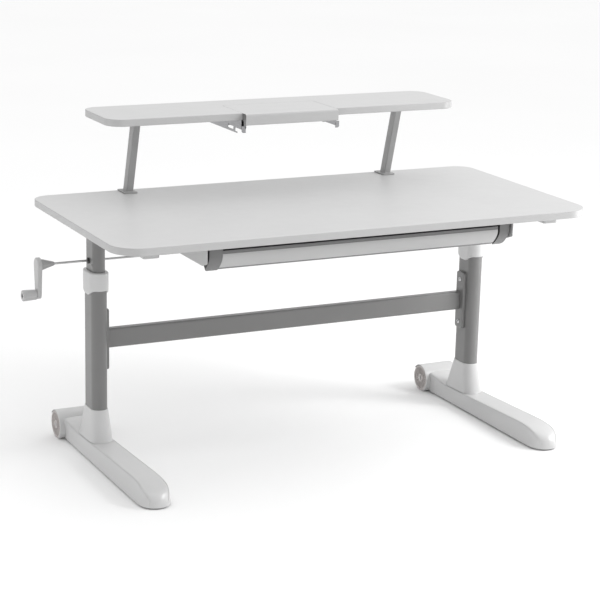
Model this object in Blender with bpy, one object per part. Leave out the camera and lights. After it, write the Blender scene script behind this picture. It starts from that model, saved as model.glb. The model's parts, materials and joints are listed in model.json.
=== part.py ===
"""A child's crank-height desk: worktop, raised shelf, pull-out panel, drawer and telescopic legs."""

import math

import bmesh
import bpy
from mathutils import Vector

# Driving dimensions in metres. X runs along the desk, Y from its front edge to its back, Z up.
CLEAR = 0.0003  # the gap left between pieces that rest on each other

TOP_WIDTH = 1.200
TOP_DEPTH = 0.594
TOP_HEIGHT = 0.588
BOARD = 0.017
TOP_UNDER = TOP_HEIGHT - BOARD
TOP_FRONT_RADIUS = 0.065
TOP_BACK_RADIUS = 0.045
BOARD_EASE = 0.0015

SHELF_WIDTH = 0.926
SHELF_FRONT = 0.419
SHELF_BACK = 0.617
SHELF_HEIGHT = 0.790
SHELF_UNDER = SHELF_HEIGHT - BOARD
SHELF_RADIUS = 0.040

POST_X = (-0.3626, 0.3427)
POST_BASE_Y = 0.564
POST_LEAN = 0.28  # forward travel for each metre of height
POST_SECTION = (0.018, 0.025)
POST_PLATE = (0.034, 0.052, 0.003)

PANEL_LEFT = -0.128
PANEL_RIGHT = 0.118
PANEL_FRONT = 0.3995
PANEL_BACK = 0.5405
PANEL_LIP = (0.012, 0.027)
RUNNER_BOTTOM = 0.750
RUNNER_X = (-0.1254, 0.1150)
RAIL_X = (-0.1296, 0.1196)
RUNNER_STOP = 0.0096
SHEET = 0.0017

LEG_X = 0.508
LEG_Y = 0.394
OUTER_HALF = (0.0194, 0.0374)
INNER_HALF = (0.0155, 0.0330)
TUBE_WALL = 0.0015
OUTER_TOP = 0.436
INNER_BOTTOM = 0.090

COLLAR_HALF = (0.0234, 0.0415)
COLLAR_BOTTOM = 0.4025
COLLAR_TOP = 0.447
COLLAR_LIP = 0.386

ARM_HALF = 0.019
ARM_FRONT = 0.044
ARM_BACK = 0.552
ARM_UNDER = 0.5525

FOOT_BOTTOM = 0.004
FOOT_HALF = 0.0385
CREASE_HALF = 0.0305
CROWN = 0.0008
NOSE_START = 0.090
NOSE_ROUND = 0.038
NOSE_FLOOR = 0.0
NOSE_TIP = -0.0125
BEAM_HALF = 0.024
BEAM_TOP = 0.032
SOCKET_TOP = 0.116

BARREL_Y = 0.533
BARREL_RADIUS = 0.0360
BARREL_SHIFT = -0.0075  # both feet are one moulding, so the barrel is off centre the same way on each
BARREL_HALF = 0.0475
WHEEL_RADIUS = 0.0340
WHEEL_INNER = 0.0312
WHEEL_OUTER = 0.0462
AXLE_RADIUS = 0.0035

BAR_Z = (0.2550, 0.3020)
BAR_Y = (0.3925, 0.4145)
PLATE_FACE = 0.4805
PLATE_Z = (0.207, 0.3540)
PLATE_Y = (0.378, 0.414)
PLATE_RADIUS = 0.011
BOLT_Y = 0.396
BOLT_Z = {"lower": 0.2233, "upper": 0.3345}

CRANK_Y = 0.398
CRANK_Z = 0.470
ROD_RADIUS = 0.0025
ARM_INNER = -0.6405
ARM_OUTER = -0.6510
HUB_TIP = -0.6072
GRIP_Z = 0.4005
GRIP_END = -0.6848
GEAR_BACK = 0.0075
GEAR_TIP = 0.0047

SCREW_RADIUS = 0.0055
SCREW_BOTTOM = 0.075
NUT_Z = (0.272, 0.297)

CASE_HALF = 0.3894
CASE_BOTTOM = 0.5255
CASE_FRONT = 0.022
CASE_BACK = 0.360
TRAY_HALF = 0.3860
TRAY_BACK = 0.348
TRAY_FLOOR = CASE_BOTTOM + 0.0015
DRAWER_HALF = 0.382
CAP_INNER = {-1: -0.350, 1: 0.3555}
STRIP_X = (CAP_INNER[-1] + CLEAR, 0.351)  # it stops short of the right cap
DRAWER_FACE_Y = 0.0272
DRAWER_BACK_Y = 0.0585
DRAWER_TOP = 0.5615
FRAME_SHARE = 0.90
INSERT_SHARE = 0.79

# The origin is under the middle of the whole desk's box, which the crank's grip and the shelf stretch.
SHIFT_X = -(GRIP_END + TOP_WIDTH / 2) / 2
SHIFT_Y = -(NOSE_TIP + SHELF_BACK) / 2
SIDES = (("left", -1), ("right", 1))


def finish(name, colour, roughness, metallic=0.0):
    material = bpy.data.materials.new(name)
    material.use_nodes = True
    shader = material.node_tree.nodes["Principled BSDF"]
    shader.inputs["Base Color"].default_value = (*colour, 1.0)
    shader.inputs["Roughness"].default_value = roughness
    shader.inputs["Metallic"].default_value = metallic
    return material


def circle(radius, steps):
    turns = [math.tau * k / steps for k in range(steps)]
    return [(radius * math.cos(t), radius * math.sin(t)) for t in turns]


def arc(centre, radius, start, end, steps):
    """Points along an arc, its angles in degrees."""
    points = []
    for k in range(steps + 1):
        angle = math.radians(start + (end - start) * k / steps)
        points.append((centre[0] + radius * math.cos(angle), centre[1] + radius * math.sin(angle)))
    return points


def rounded(half_a, half_b, radius, centre=(0.0, 0.0), steps=4, back_radius=None):
    """A rectangle's outline with round corners; the two on its far side can have another radius."""
    far = radius if back_radius is None else back_radius
    points = []
    corners = ((-1, -1, 180, radius), (1, -1, 270, radius), (1, 1, 0, far), (-1, 1, 90, far))
    for side_a, side_b, start, corner in corners:
        middle = (centre[0] + side_a * (half_a - corner), centre[1] + side_b * (half_b - corner))
        points += arc(middle, corner, start, start + 90, steps)
    return points


def stadium(half_x, half_y, side, steps=5, flats=1):
    """A leg tube's outline: round ends, and long flat sides split into a number of lengths."""
    corners = rounded(half_x, half_y, 0.985 * half_x, (side * LEG_X, LEG_Y), steps)
    points = []
    for k, (x, y) in enumerate(corners):
        points.append((x, y))
        if k % (2 * steps + 2) == 2 * steps + 1:
            next_x, next_y = corners[(k + 1) % len(corners)]
            for split in range(1, flats):
                points.append((x + (next_x - x) * split / flats, y + (next_y - y) * split / flats))
    return points


def ring(outline, axis, station):
    """An outline of pairs laid square to an axis, at a station along it."""
    if axis == "X":
        return [(station, a, b) for a, b in outline]
    if axis == "Y":
        return [(a, station, b) for a, b in outline]
    return [(a, b, station) for a, b in outline]


def skin(rings, looped=False):
    """A closed mesh over a stack of rings: flat ends, or a tube's wall when the stack loops back."""
    shape = bmesh.new()
    rows = [[shape.verts.new(point) for point in points] for points in rings]
    pairs = list(zip(rows, rows[1:]))
    if looped:
        pairs.append((rows[-1], rows[0]))
    count = len(rows[0])
    for low, high in pairs:
        for a in range(count):
            b = (a + 1) % count
            shape.faces.new((low[a], low[b], high[b], high[a]))
    if not looped:
        shape.faces.new(rows[0][::-1])
        shape.faces.new(rows[-1])
    bmesh.ops.recalc_face_normals(shape, faces=shape.faces)
    mesh = bpy.data.meshes.new("shape")
    shape.to_mesh(mesh)
    shape.free()
    return mesh


def prism(outline, axis, low, high):
    return skin([ring(outline, axis, low), ring(outline, axis, high)])


def box(x_range, y_range, z_range):
    left, right = x_range
    front, back = y_range
    corners = [(left, front), (right, front), (right, back), (left, back)]
    return prism(corners, "Z", *z_range)


def turned(profile, axis, centre, steps=24, bored=False):
    """A round piece from pairs of radius and station; a bored one's profile loops round its wall."""
    rings = []
    for radius, station in profile:
        outline = [(centre[0] + a, centre[1] + b) for a, b in circle(radius, steps)]
        rings.append(ring(outline, axis, station))
    return skin(rings, looped=bored)


def combine(body, tools, operation):
    """Joins closed meshes to a body, or cuts them from it, and leaves only the result."""
    scene = bpy.context.scene.collection.objects
    for tool in tools:
        pair = [bpy.data.objects.new("work", mesh) for mesh in (body, tool)]
        for item in pair:
            scene.link(item)
        step = pair[0].modifiers.new("step", "BOOLEAN")
        step.operation = operation
        step.solver = "EXACT"
        step.object = pair[1]
        result = pair[0].evaluated_get(bpy.context.evaluated_depsgraph_get())
        body = bpy.data.meshes.new_from_object(result)
        for item in pair:
            bpy.data.objects.remove(item)
    body.materials.clear()
    return body


def join(body, *tools):
    return combine(body, tools, "UNION")


def cut(body, *tools):
    return combine(body, tools, "DIFFERENCE")


def place(name, mesh, material, parent, pivot=(0.0, 0.0, 0.0)):
    """Names a mesh drawn in the desk's own frame, and puts the object's origin on its pivot."""
    mesh.name = name
    for vertex in mesh.vertices:
        vertex.co -= Vector(pivot)
    mesh.shade_smooth()
    mesh.set_sharp_from_angle(angle=math.radians(35))
    mesh.materials.append(material)
    item = bpy.data.objects.new(name, mesh)
    bpy.context.scene.collection.objects.link(item)
    item.parent = parent
    item.location = Vector(pivot) - Vector(parent["pivot"])
    return item


def pivot_at(name, parent, point):
    """An empty that a moving assembly hangs on, on its joint's axis."""
    empty = bpy.data.objects.new(name, None)
    bpy.context.scene.collection.objects.link(empty)
    empty["pivot"] = point
    if parent is not None:
        empty.parent = parent
        empty.location = Vector(point) - Vector(parent["pivot"])
    return empty


def board(half_x, y_range, radius, back_radius, z_range):
    """A board with a small ease along its top and bottom edges."""
    middle = (0.0, (y_range[0] + y_range[1]) / 2)
    half_y = (y_range[1] - y_range[0]) / 2
    rings = []
    low, high = z_range
    levels = ((low, BOARD_EASE), (low + BOARD_EASE, 0.0), (high - BOARD_EASE, 0.0), (high, BOARD_EASE))
    for z, inset in levels:
        outline = rounded(half_x - inset, half_y - inset, radius - inset, middle, 6, back_radius - inset)
        rings.append(ring(outline, "Z", z))
    return skin(rings)


def tube(outer, inner, axis, low, high):
    """A length of hollow section, open at both ends."""
    rings = [ring(outer, axis, low), ring(outer, axis, high), ring(inner, axis, high), ring(inner, axis, low)]
    return skin(rings, looped=True)


def quarter(share, power):
    """The height of a rounded quarter of a superellipse, from 1 at share 0 to 0 at share 1."""
    return max(0.0, 1.0 - max(0.0, share) ** power) ** (1 / power)


def crease_height(y):
    """The foot's side crease falls in a straight line from the nose towards the wheels."""
    return 0.0478 - 0.0317 * (y - NOSE_START)


def foot_levels(y):
    """Half the foot's width at its bottom, and the heights of its crease and of its middle, at Y = y."""
    width = FOOT_HALF * quarter((NOSE_ROUND - y) / (NOSE_ROUND - NOSE_TIP), 2.2)
    rise = crease_height(max(y, NOSE_START)) - FOOT_BOTTOM
    crease = FOOT_BOTTOM + rise * quarter((NOSE_START - y) / (NOSE_START - NOSE_FLOOR), 2.2)
    middle = FOOT_BOTTOM + (rise + CROWN) * quarter((NOSE_START - y) / (NOSE_START - NOSE_TIP), 2.3)
    return width, crease, middle


def foot_section(side, y):
    """A foot's cross-section: sides that lean in up to a crease, and a top that is an arch between them."""
    width, crease, middle = foot_levels(y)
    lean = (FOOT_HALF - CREASE_HALF) * (crease - FOOT_BOTTOM) / (crease_height(y) - FOOT_BOTTOM)
    top_half = width - lean
    half = [(width, FOOT_BOTTOM), (top_half, crease + 0.0001)]
    for degrees in (22, 45, 68):
        angle = math.radians(degrees)
        half.append((top_half * math.cos(angle), crease + (middle - crease) * math.sin(angle)))
    right = [(side * LEG_X + a, z) for a, z in half]
    left = [(side * LEG_X - a, z) for a, z in reversed(half)]
    return ring(right + left, "Y", y)


def foot_body(side):
    """The foot's outer form, from inside the wheel barrel to the round nose."""
    rings = [foot_section(side, BARREL_Y - 0.004)]
    reach = NOSE_START - NOSE_TIP
    for degrees in (0, 15, 28, 40, 50, 59, 67, 74, 80, 87):
        rings.append(foot_section(side, NOSE_START - reach * math.sin(math.radians(degrees))))
    return skin(rings)


def wheel_opening(side, end):
    """The wedge behind and under a wheel where the barrel's shell is left open."""
    centre = (BARREL_Y, WHEEL_RADIUS)
    outline = [centre] + arc(centre, 0.060, -102, 38, 7)
    x = side * LEG_X + BARREL_SHIFT + end * (WHEEL_INNER - 0.0010)
    return prism(outline, "X", *sorted((x, x + end * 0.030)))


def foot_cover(side):
    x = side * LEG_X
    centre = (BARREL_Y, WHEEL_RADIUS)
    middle = x + BARREL_SHIFT
    rim = 0.0025
    profile = [(BARREL_RADIUS - 0.0008, -BARREL_HALF), (BARREL_RADIUS, rim - BARREL_HALF)]
    profile += [(radius, -station) for radius, station in reversed(profile)]
    barrel = turned([(radius, middle + station) for radius, station in profile], "X", centre, 40)
    cover = join(foot_body(side), barrel)
    wall = 0.0025
    hollow = []
    for y in (0.488, NOSE_START, 0.066):
        roof = foot_levels(y)[1] - wall
        top_half = CREASE_HALF - wall
        low_half = FOOT_HALF - wall
        section = [(x + top_half, roof), (x - top_half, roof), (x - low_half, -0.010), (x + low_half, -0.010)]
        hollow.append(ring(section, "Y", y))
    tools = [skin(hollow)]
    tools.append(prism(rounded(0.0201, 0.0381, 0.0197, (x, LEG_Y), 5), "Z", 0.020, 0.060))
    tools.append(box((x - 0.060, x + 0.060), (0.4890, 0.600), (-0.030, FOOT_BOTTOM - 0.0005)))
    tools.append(box((x - 0.030, x + 0.030), (0.505, 0.560), (-0.020, 0.027)))
    for end in (-1, 1):
        bay_radius = WHEEL_RADIUS + 0.0006
        bay = [(bay_radius, middle + end * (WHEEL_INNER - 0.0007)), (bay_radius, middle + end * 0.060)]
        tools.append(turned(bay, "X", centre, 36))
        tools.append(wheel_opening(side, end))
    axle_radius = AXLE_RADIUS + CLEAR
    tools.append(turned([(axle_radius, middle - 0.060), (axle_radius, middle + 0.060)], "X", centre, 16))
    return cut(cover, *tools)


def foot_beam(side):
    x = side * LEG_X
    middle = (x, (BEAM_TOP + 0.0075) / 2)
    half = (BEAM_TOP - 0.0075) / 2
    outer = rounded(BEAM_HALF, half, 0.003, middle, 2)
    inner = rounded(BEAM_HALF - 0.002, half - 0.002, 0.001, middle, 2)
    return tube(outer, inner, "Y", 0.075, 0.484)


def glide(side):
    """The pad under the nose, as round in plan as the nose above it."""
    inset = 0.0035
    half = []
    for degrees in (88, 75, 60, 45, 30, 15, 0):
        y = NOSE_ROUND - (NOSE_ROUND - NOSE_TIP) * math.sin(math.radians(degrees))
        half.append((foot_levels(y)[0] * (1 - inset / FOOT_HALF), y + inset))
    half.append((FOOT_HALF - inset, NOSE_START - 0.020))
    right = [(side * LEG_X + a, b) for a, b in half]
    left = [(side * LEG_X - a, b) for a, b in reversed(half)]
    return prism(right + left, "Z", 0.0, FOOT_BOTTOM - CLEAR)


def leg_socket(side):
    """The tapered boot between the foot and the leg."""
    def oval(half_x, half_y, radius, back=0.0):
        return rounded(half_x, half_y, radius, (side * LEG_X, LEG_Y + back), 5)

    def seat(outline):
        return [(a, b, crease_height(b) + CROWN + 0.0004) for a, b in outline]

    top = oval(OUTER_HALF[0] + 0.0015, OUTER_HALF[1] + 0.0015, 0.0205)
    bore = oval(OUTER_HALF[0] + 0.0004, OUTER_HALF[1] + 0.0004, 0.0195)
    rings = [
        seat(oval(0.0282, 0.0620, 0.0265, 0.004)),
        ring(top, "Z", SOCKET_TOP),
        ring(bore, "Z", SOCKET_TOP),
        ring(bore, "Z", SOCKET_TOP - 0.008),
        seat(oval(0.0254, 0.0592, 0.0240, 0.004)),
    ]
    return skin(rings, looped=True)


def wheel(x, end):
    """A wheel with a tread, a dished outer face and a plain inner one; its barrel's middle is at X = x."""
    inner = x + end * WHEEL_INNER
    outer = x + end * WHEEL_OUTER
    profile = [
        (AXLE_RADIUS + 0.0004, inner),
        (WHEEL_RADIUS - 0.0015, inner),
        (WHEEL_RADIUS, inner + end * 0.0015),
        (WHEEL_RADIUS, outer - end * 0.0015),
        (WHEEL_RADIUS - 0.0015, outer),
        (0.0285, outer),
        (0.0270, outer - end * 0.003),
        (0.0090, outer - end * 0.003),
        (0.0080, outer),
        (AXLE_RADIUS + 0.0004, outer),
    ]
    return turned(profile, "X", (BARREL_Y, WHEEL_RADIUS), 24, bored=True)


def axle(side):
    x = side * LEG_X + BARREL_SHIFT
    return turned([(AXLE_RADIUS, x - 0.0470), (AXLE_RADIUS, x + 0.0470)], "X", (BARREL_Y, WHEEL_RADIUS), 12)


def outer_leg(side):
    inner = stadium(OUTER_HALF[0] - TUBE_WALL, OUTER_HALF[1] - TUBE_WALL, side)
    leg = tube(stadium(*OUTER_HALF, side), inner, "Z", BEAM_TOP + CLEAR, OUTER_TOP)
    holes = []
    for z in BOLT_Z.values():
        reach = sorted((side * 0.480, side * 0.495))
        holes.append(turned([(0.0031, reach[0]), (0.0031, reach[1])], "X", (BOLT_Y, z), 12))
    return cut(leg, *holes)


def collar(side):
    """The guide on top of the outer tube; its bottom edge dips to a tongue on each flat side."""
    def wall(half, grow, z):
        return ring(stadium(half[0] + grow, half[1] + grow, side, 5, 8), "Z", z)

    def edge(half, grow, rise):
        points = []
        for x, y, _ in wall(half, grow, 0.0):
            share = min(1.0, max(0.0, abs(y - LEG_Y) - 0.004) / 0.029)
            dip = (COLLAR_BOTTOM - COLLAR_LIP) * (0.5 + 0.5 * math.cos(math.pi * share))
            points.append((x, y, COLLAR_BOTTOM - dip + rise))
        return points

    rings = [
        edge(COLLAR_HALF, -0.0012, 0.0),
        edge(COLLAR_HALF, 0.0, 0.003),
        wall(COLLAR_HALF, 0.0, COLLAR_TOP - 0.005),
        wall(COLLAR_HALF, -0.0012, COLLAR_TOP - 0.0015),
        wall(COLLAR_HALF, -0.0035, COLLAR_TOP),
        wall(INNER_HALF, 0.0005, COLLAR_TOP),
        wall(INNER_HALF, 0.0005, OUTER_TOP + CLEAR),
        wall(OUTER_HALF, CLEAR, OUTER_TOP + CLEAR),
        edge(OUTER_HALF, CLEAR, 0.0),
    ]
    return skin(rings, looped=True)


def inner_leg(side):
    inner = stadium(INNER_HALF[0] - TUBE_WALL, INNER_HALF[1] - TUBE_WALL, side)
    leg = tube(stadium(*INNER_HALF, side), inner, "Z", INNER_BOTTOM, ARM_UNDER - CLEAR)
    x = side * LEG_X
    across = (x - 0.020, x + 0.020) if side < 0 else (x - 0.020, x)
    holes = [turned([(0.0050, across[0]), (0.0050, across[1])], "X", (CRANK_Y, CRANK_Z), 16)]
    holes.append(turned([(0.0015, x - 0.020), (0.0015, x)], "X", (0.3765, 0.4647), 10))
    return cut(leg, *holes)


def rod_bush(face, end):
    """A flanged bush in a leg's wall, whose outer face is at X = face; end says which way is out."""
    profile = [
        (ROD_RADIUS + 0.0004, face - end * 0.0017),
        (0.0046, face - end * 0.0017),
        (0.0046, face + end * CLEAR),
        (0.0070, face + end * CLEAR),
        (0.0070, face + end * 0.0028),
        (0.0062, face + end * 0.0034),
        (ROD_RADIUS + 0.0004, face + end * 0.0034),
    ]
    return turned(profile, "X", (CRANK_Y, CRANK_Z), 16, bored=True)


def gearbox(side):
    """The bracket in the inner leg that carries a bevel gear pair; its back is open."""
    x = side * LEG_X
    shell = box((x - 0.0134, x + 0.0134), (0.3802, 0.4112), (0.4502, 0.4895))
    room = box((x - 0.0112, x + 0.0112), (0.3825, 0.4300), (0.4527, 0.4870))
    floor_hole = turned([(0.0044, 0.440), (0.0044, 0.456)], "Z", (x, CRANK_Y), 16)
    rod_hole = turned([(0.0031, x - 0.020), (0.0031, x + 0.020)], "X", (CRANK_Y, CRANK_Z), 16)
    return cut(shell, room, floor_hole, rod_hole)


def gear_outline(tip, root, teeth=10):
    """A toothed outline with four points to a tooth."""
    points = []
    for k in range(teeth):
        for share, radius in ((0.0, root), (0.25, root), (0.5, tip), (0.75, tip)):
            angle = math.tau * (k + share) / teeth
            points.append((radius * math.cos(angle), radius * math.sin(angle)))
    return points


def moved(outline, centre):
    return [(a + centre[0], b + centre[1]) for a, b in outline]


def rod_bevel(side):
    """The bevel gear pinned to the cross rod inside a leg."""
    x = side * LEG_X
    centre = (CRANK_Y, CRANK_Z)
    bore = circle(ROD_RADIUS + CLEAR, 40)
    stack = [
        (bore, x - 0.0098),
        (circle(0.0048, 40), x - 0.0098),
        (circle(0.0048, 40), x - GEAR_BACK),
        (gear_outline(0.0072, 0.0058), x - GEAR_BACK),
        (gear_outline(0.0044, 0.0034), x - GEAR_TIP),
        (bore, x - GEAR_TIP),
    ]
    return skin([ring(moved(outline, centre), "X", station) for outline, station in stack], looped=True)


def lead_screw(side):
    """The lifting screw with its bevel pinion cut on the top end."""
    centre = (side * LEG_X, CRANK_Y)
    stack = [
        (circle(SCREW_RADIUS - 0.001, 40), SCREW_BOTTOM),
        (circle(SCREW_RADIUS, 40), SCREW_BOTTOM + 0.001),
        (circle(SCREW_RADIUS, 40), 0.4498),
        (circle(0.0040, 40), 0.4499),
        (circle(0.0040, 40), CRANK_Z - GEAR_BACK - 0.0001),
        (gear_outline(0.0072, 0.0058), CRANK_Z - GEAR_BACK),
        (gear_outline(0.0044, 0.0034), CRANK_Z - GEAR_TIP),
    ]
    return skin([ring(moved(outline, centre), "Z", station) for outline, station in stack])


def lead_nut(side):
    low, high = NUT_Z
    neck = low - 0.010
    profile = [(0.0059, neck), (0.0071, neck), (0.0071, low), (0.0100, low), (0.0100, high), (0.0059, high)]
    return turned(profile, "Z", (side * LEG_X, CRANK_Y), 20, bored=True)


def nut_post(side):
    """The tube that stands on the foot beam and holds the nut up inside the leg."""
    base = BEAM_TOP + CLEAR
    step = base + 0.004
    top = NUT_Z[0] - CLEAR
    profile = [(0.0075, base), (0.0155, base), (0.0155, step), (0.0100, step), (0.0100, top), (0.0075, top)]
    return turned(profile, "Z", (side * LEG_X, CRANK_Y), 20, bored=True)


def support_arm(side):
    """The channel under the worktop, open on top."""
    x = side * 0.5085
    middle = (x, (ARM_FRONT + ARM_BACK) / 2)
    half = (ARM_BACK - ARM_FRONT) / 2
    wall = 0.0018
    outer = rounded(ARM_HALF, half, 0.006, middle, 4)
    inner = rounded(ARM_HALF - wall, half - wall, 0.0045, middle, 4)
    channel = prism(outer, "Z", ARM_UNDER, TOP_UNDER - CLEAR)
    return cut(channel, prism(inner, "Z", ARM_UNDER + wall, TOP_UNDER + 0.010))


def stretcher_bar():
    middle = (sum(BAR_Y) / 2, sum(BAR_Z) / 2)
    half = ((BAR_Y[1] - BAR_Y[0]) / 2, (BAR_Z[1] - BAR_Z[0]) / 2)
    outer = rounded(*half, 0.005, middle, 4)
    inner = rounded(half[0] - 0.0018, half[1] - 0.0018, 0.0032, middle, 4)
    return tube(outer, inner, "X", -PLATE_FACE + CLEAR, PLATE_FACE - CLEAR)


def stretcher_plate(side):
    """The pressed plate that joins the bar to a leg, hollow towards the leg."""
    middle = (sum(PLATE_Y) / 2, sum(PLATE_Z) / 2)
    half = ((PLATE_Y[1] - PLATE_Y[0]) / 2, (PLATE_Z[1] - PLATE_Z[0]) / 2)
    back = LEG_X - OUTER_HALF[0] - CLEAR
    levels = ((0.0012, PLATE_FACE), (0.0, PLATE_FACE + 0.0012), (0.0, back))
    rings = []
    for inset, x in levels:
        outline = rounded(half[0] - inset, half[1] - inset, PLATE_RADIUS - inset, middle, 5)
        rings.append(ring(outline, "X", side * x))
    plate = skin(rings)
    wall = 0.0025
    outline = rounded(half[0] - wall, half[1] - wall, PLATE_RADIUS - wall, middle, 5)
    room = prism(outline, "X", *sorted((side * (PLATE_FACE + wall), side * 0.495)))
    holes = []
    for z in BOLT_Z.values():
        reach = sorted((side * 0.470, side * 0.485))
        holes.append(turned([(0.0031, reach[0]), (0.0031, reach[1])], "X", (BOLT_Y, z), 12))
    return cut(plate, room, *holes)


def plate_bolt(side, z):
    """A button-head bolt with a hexagon socket."""
    head = side * (PLATE_FACE - CLEAR)
    profile = [
        (0.0045, head - side * 0.0034),
        (0.0056, head - side * 0.0024),
        (0.0058, head),
        (0.0028, head),
        (0.0028, side * 0.4912),
    ]
    socket = [(0.0020, head - side * 0.0060), (0.0020, head - side * 0.0012)]
    return cut(turned(profile, "X", (BOLT_Y, z), 16), turned(socket, "X", (BOLT_Y, z), 6))


def shelf_board():
    middle_z = (SHELF_UNDER, SHELF_HEIGHT)
    shelf = board(SHELF_WIDTH / 2, (SHELF_FRONT, SHELF_BACK), SHELF_RADIUS, SHELF_RADIUS, middle_z)
    gap = 0.0004
    notch_x = (PANEL_LEFT - gap, PANEL_RIGHT + gap)
    notch = box(notch_x, (0.380, PANEL_BACK + gap), (SHELF_UNDER - 0.010, SHELF_HEIGHT + 0.010))
    return cut(shelf, notch)


def shelf_post(x):
    """A leaning post welded between two small plates."""
    def section(z):
        middle = (x, POST_BASE_Y - POST_LEAN * (z - TOP_HEIGHT))
        return ring(rounded(POST_SECTION[0] / 2, POST_SECTION[1] / 2, 0.0025, middle, 3), "Z", z)

    def plate(low, middle_y):
        middle = (x, middle_y)
        outline = rounded(POST_PLATE[0] / 2, POST_PLATE[1] / 2, 0.003, middle, 3)
        return prism(outline, "Z", low, low + POST_PLATE[2])

    base = TOP_HEIGHT + CLEAR
    top = SHELF_UNDER - CLEAR
    top_y = POST_BASE_Y - POST_LEAN * (top - TOP_HEIGHT)
    post = skin([section(base + 0.0012), section(top - 0.0012)])
    return join(post, plate(base, POST_BASE_Y + 0.003), plate(top - POST_PLATE[2], top_y))


def panel_board():
    """The pull-out panel: a board with a deeper round-topped lip along its front edge."""
    lip_back = PANEL_FRONT + PANEL_LIP[0]
    lip_bottom = SHELF_HEIGHT - PANEL_LIP[1]
    outline = arc((PANEL_FRONT + 0.0035, SHELF_HEIGHT - 0.0035), 0.0035, 180, 90, 4)
    outline += [(PANEL_BACK, SHELF_HEIGHT), (PANEL_BACK, SHELF_UNDER), (lip_back, SHELF_UNDER)]
    outline += [(lip_back, lip_bottom), (PANEL_FRONT, lip_bottom)]
    return prism(outline, "X", PANEL_LEFT, PANEL_RIGHT)


def panel_runner(x, inward):
    """The panel's slide: an upright strip, a foot screwed to the panel, and a stop across its front end."""
    top = SHELF_UNDER - CLEAR
    under_lip = SHELF_HEIGHT - PANEL_LIP[1] - CLEAR
    behind_lip = PANEL_FRONT + PANEL_LIP[0] + CLEAR
    outline = [(0.605, top), (0.605, RUNNER_BOTTOM), (0.412, RUNNER_BOTTOM), (0.405, RUNNER_BOTTOM + 0.007)]
    outline += [(0.405, under_lip), (behind_lip, under_lip), (behind_lip, top)]
    web = prism(outline, "X", x - SHEET / 2, x + SHEET / 2)
    foot = box(sorted((x, x + inward * 0.012)), (behind_lip + 0.003, 0.530), (top - SHEET, top - 0.0001))
    outer = x - inward * RUNNER_STOP
    floor = RUNNER_BOTTOM - 0.0055
    ceiling = 0.7605
    inner = x + inward * 0.0008
    stop = [(inner, ceiling), (inner, floor), (outer + inward * 0.003, floor)]
    stop += [(outer, floor + 0.003), (outer, ceiling)]
    return join(web, foot, prism(stop, "Y", 0.4078, 0.4095))


def panel_rail(x, inward, slotted):
    """The shelf's side of the slide: a hanging web, a foot under the board, and a ledge for the runner."""
    top = SHELF_UNDER - CLEAR
    if slotted:
        outline = [(0.612, top), (0.612, 0.7385), (0.446, 0.7385), (0.446, 0.7415)]
        outline += [(0.458, 0.7415), (0.458, 0.7505)]
    else:
        outline = [(0.612, top), (0.612, 0.7465), (0.480, 0.7465), (0.470, 0.7505)]
    outline += [(0.4215, 0.7505), (0.4215, top)]
    rail = prism(outline, "X", x - SHEET / 2, x + SHEET / 2)
    foot = box(sorted((x, x - inward * 0.018)), (0.430, 0.600), (top - SHEET, top - 0.0001))
    ledge_z = (RUNNER_BOTTOM - 0.0022, RUNNER_BOTTOM - 0.0004)
    ledge = box(sorted((x, x + inward * 0.0060)), (0.505, 0.606), ledge_z)
    rail = join(rail, foot, ledge)
    if slotted:
        rail = cut(rail, box((x - 0.010, x + 0.002), (0.467, 0.500), (0.744, 0.753)))
    return rail


def crank_arm():
    """The arm with its cone-shaped hub; the rod and the grip's pin go into blind holes."""
    def outline(inset):
        top = arc((CRANK_Y, CRANK_Z), 0.0172 - inset, -4, 184, 12)
        bottom = arc((CRANK_Y, GRIP_Z), 0.0105 - inset, 184, 356, 10)
        return top + bottom

    ease = 0.0015
    levels = ((ease, ARM_OUTER), (0.0, ARM_OUTER + ease), (0.0, ARM_INNER - ease), (ease, ARM_INNER))
    arm = skin([ring(outline(inset), "X", x) for inset, x in levels])
    axis = (CRANK_Y, CRANK_Z)
    cone = [(0.0126, ARM_INNER - 0.003), (0.0126, ARM_INNER + 0.0065), (0.0042, HUB_TIP)]
    hub = turned(cone, "X", axis, 24)
    rod_hole = turned([(ROD_RADIUS + CLEAR, -0.630), (ROD_RADIUS + CLEAR, -0.600)], "X", axis, 16)
    pin_hole = turned([(0.0033, -0.660), (0.0033, -0.6445)], "X", (CRANK_Y, GRIP_Z), 16)
    return cut(join(arm, hub), rod_hole, pin_hole)


def grip_pin():
    profile = [(0.0030, -0.6450), (0.0030, -0.6790), (0.0052, -0.6790), (0.0052, -0.6808), (0.0040, -0.6816)]
    return turned(profile, "X", (CRANK_Y, GRIP_Z), 16)


def crank_grip():
    profile = [
        (0.0034, ARM_OUTER - CLEAR),
        (0.0110, ARM_OUTER - CLEAR),
        (0.0118, ARM_OUTER - 0.0015),
        (0.0130, GRIP_END + 0.0060),
        (0.0128, GRIP_END + 0.0020),
        (0.0112, GRIP_END),
        (0.0060, GRIP_END),
        (0.0060, -0.6786),
        (0.0034, -0.6786),
    ]
    return turned(profile, "X", (CRANK_Y, GRIP_Z), 24, bored=True)


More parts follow.
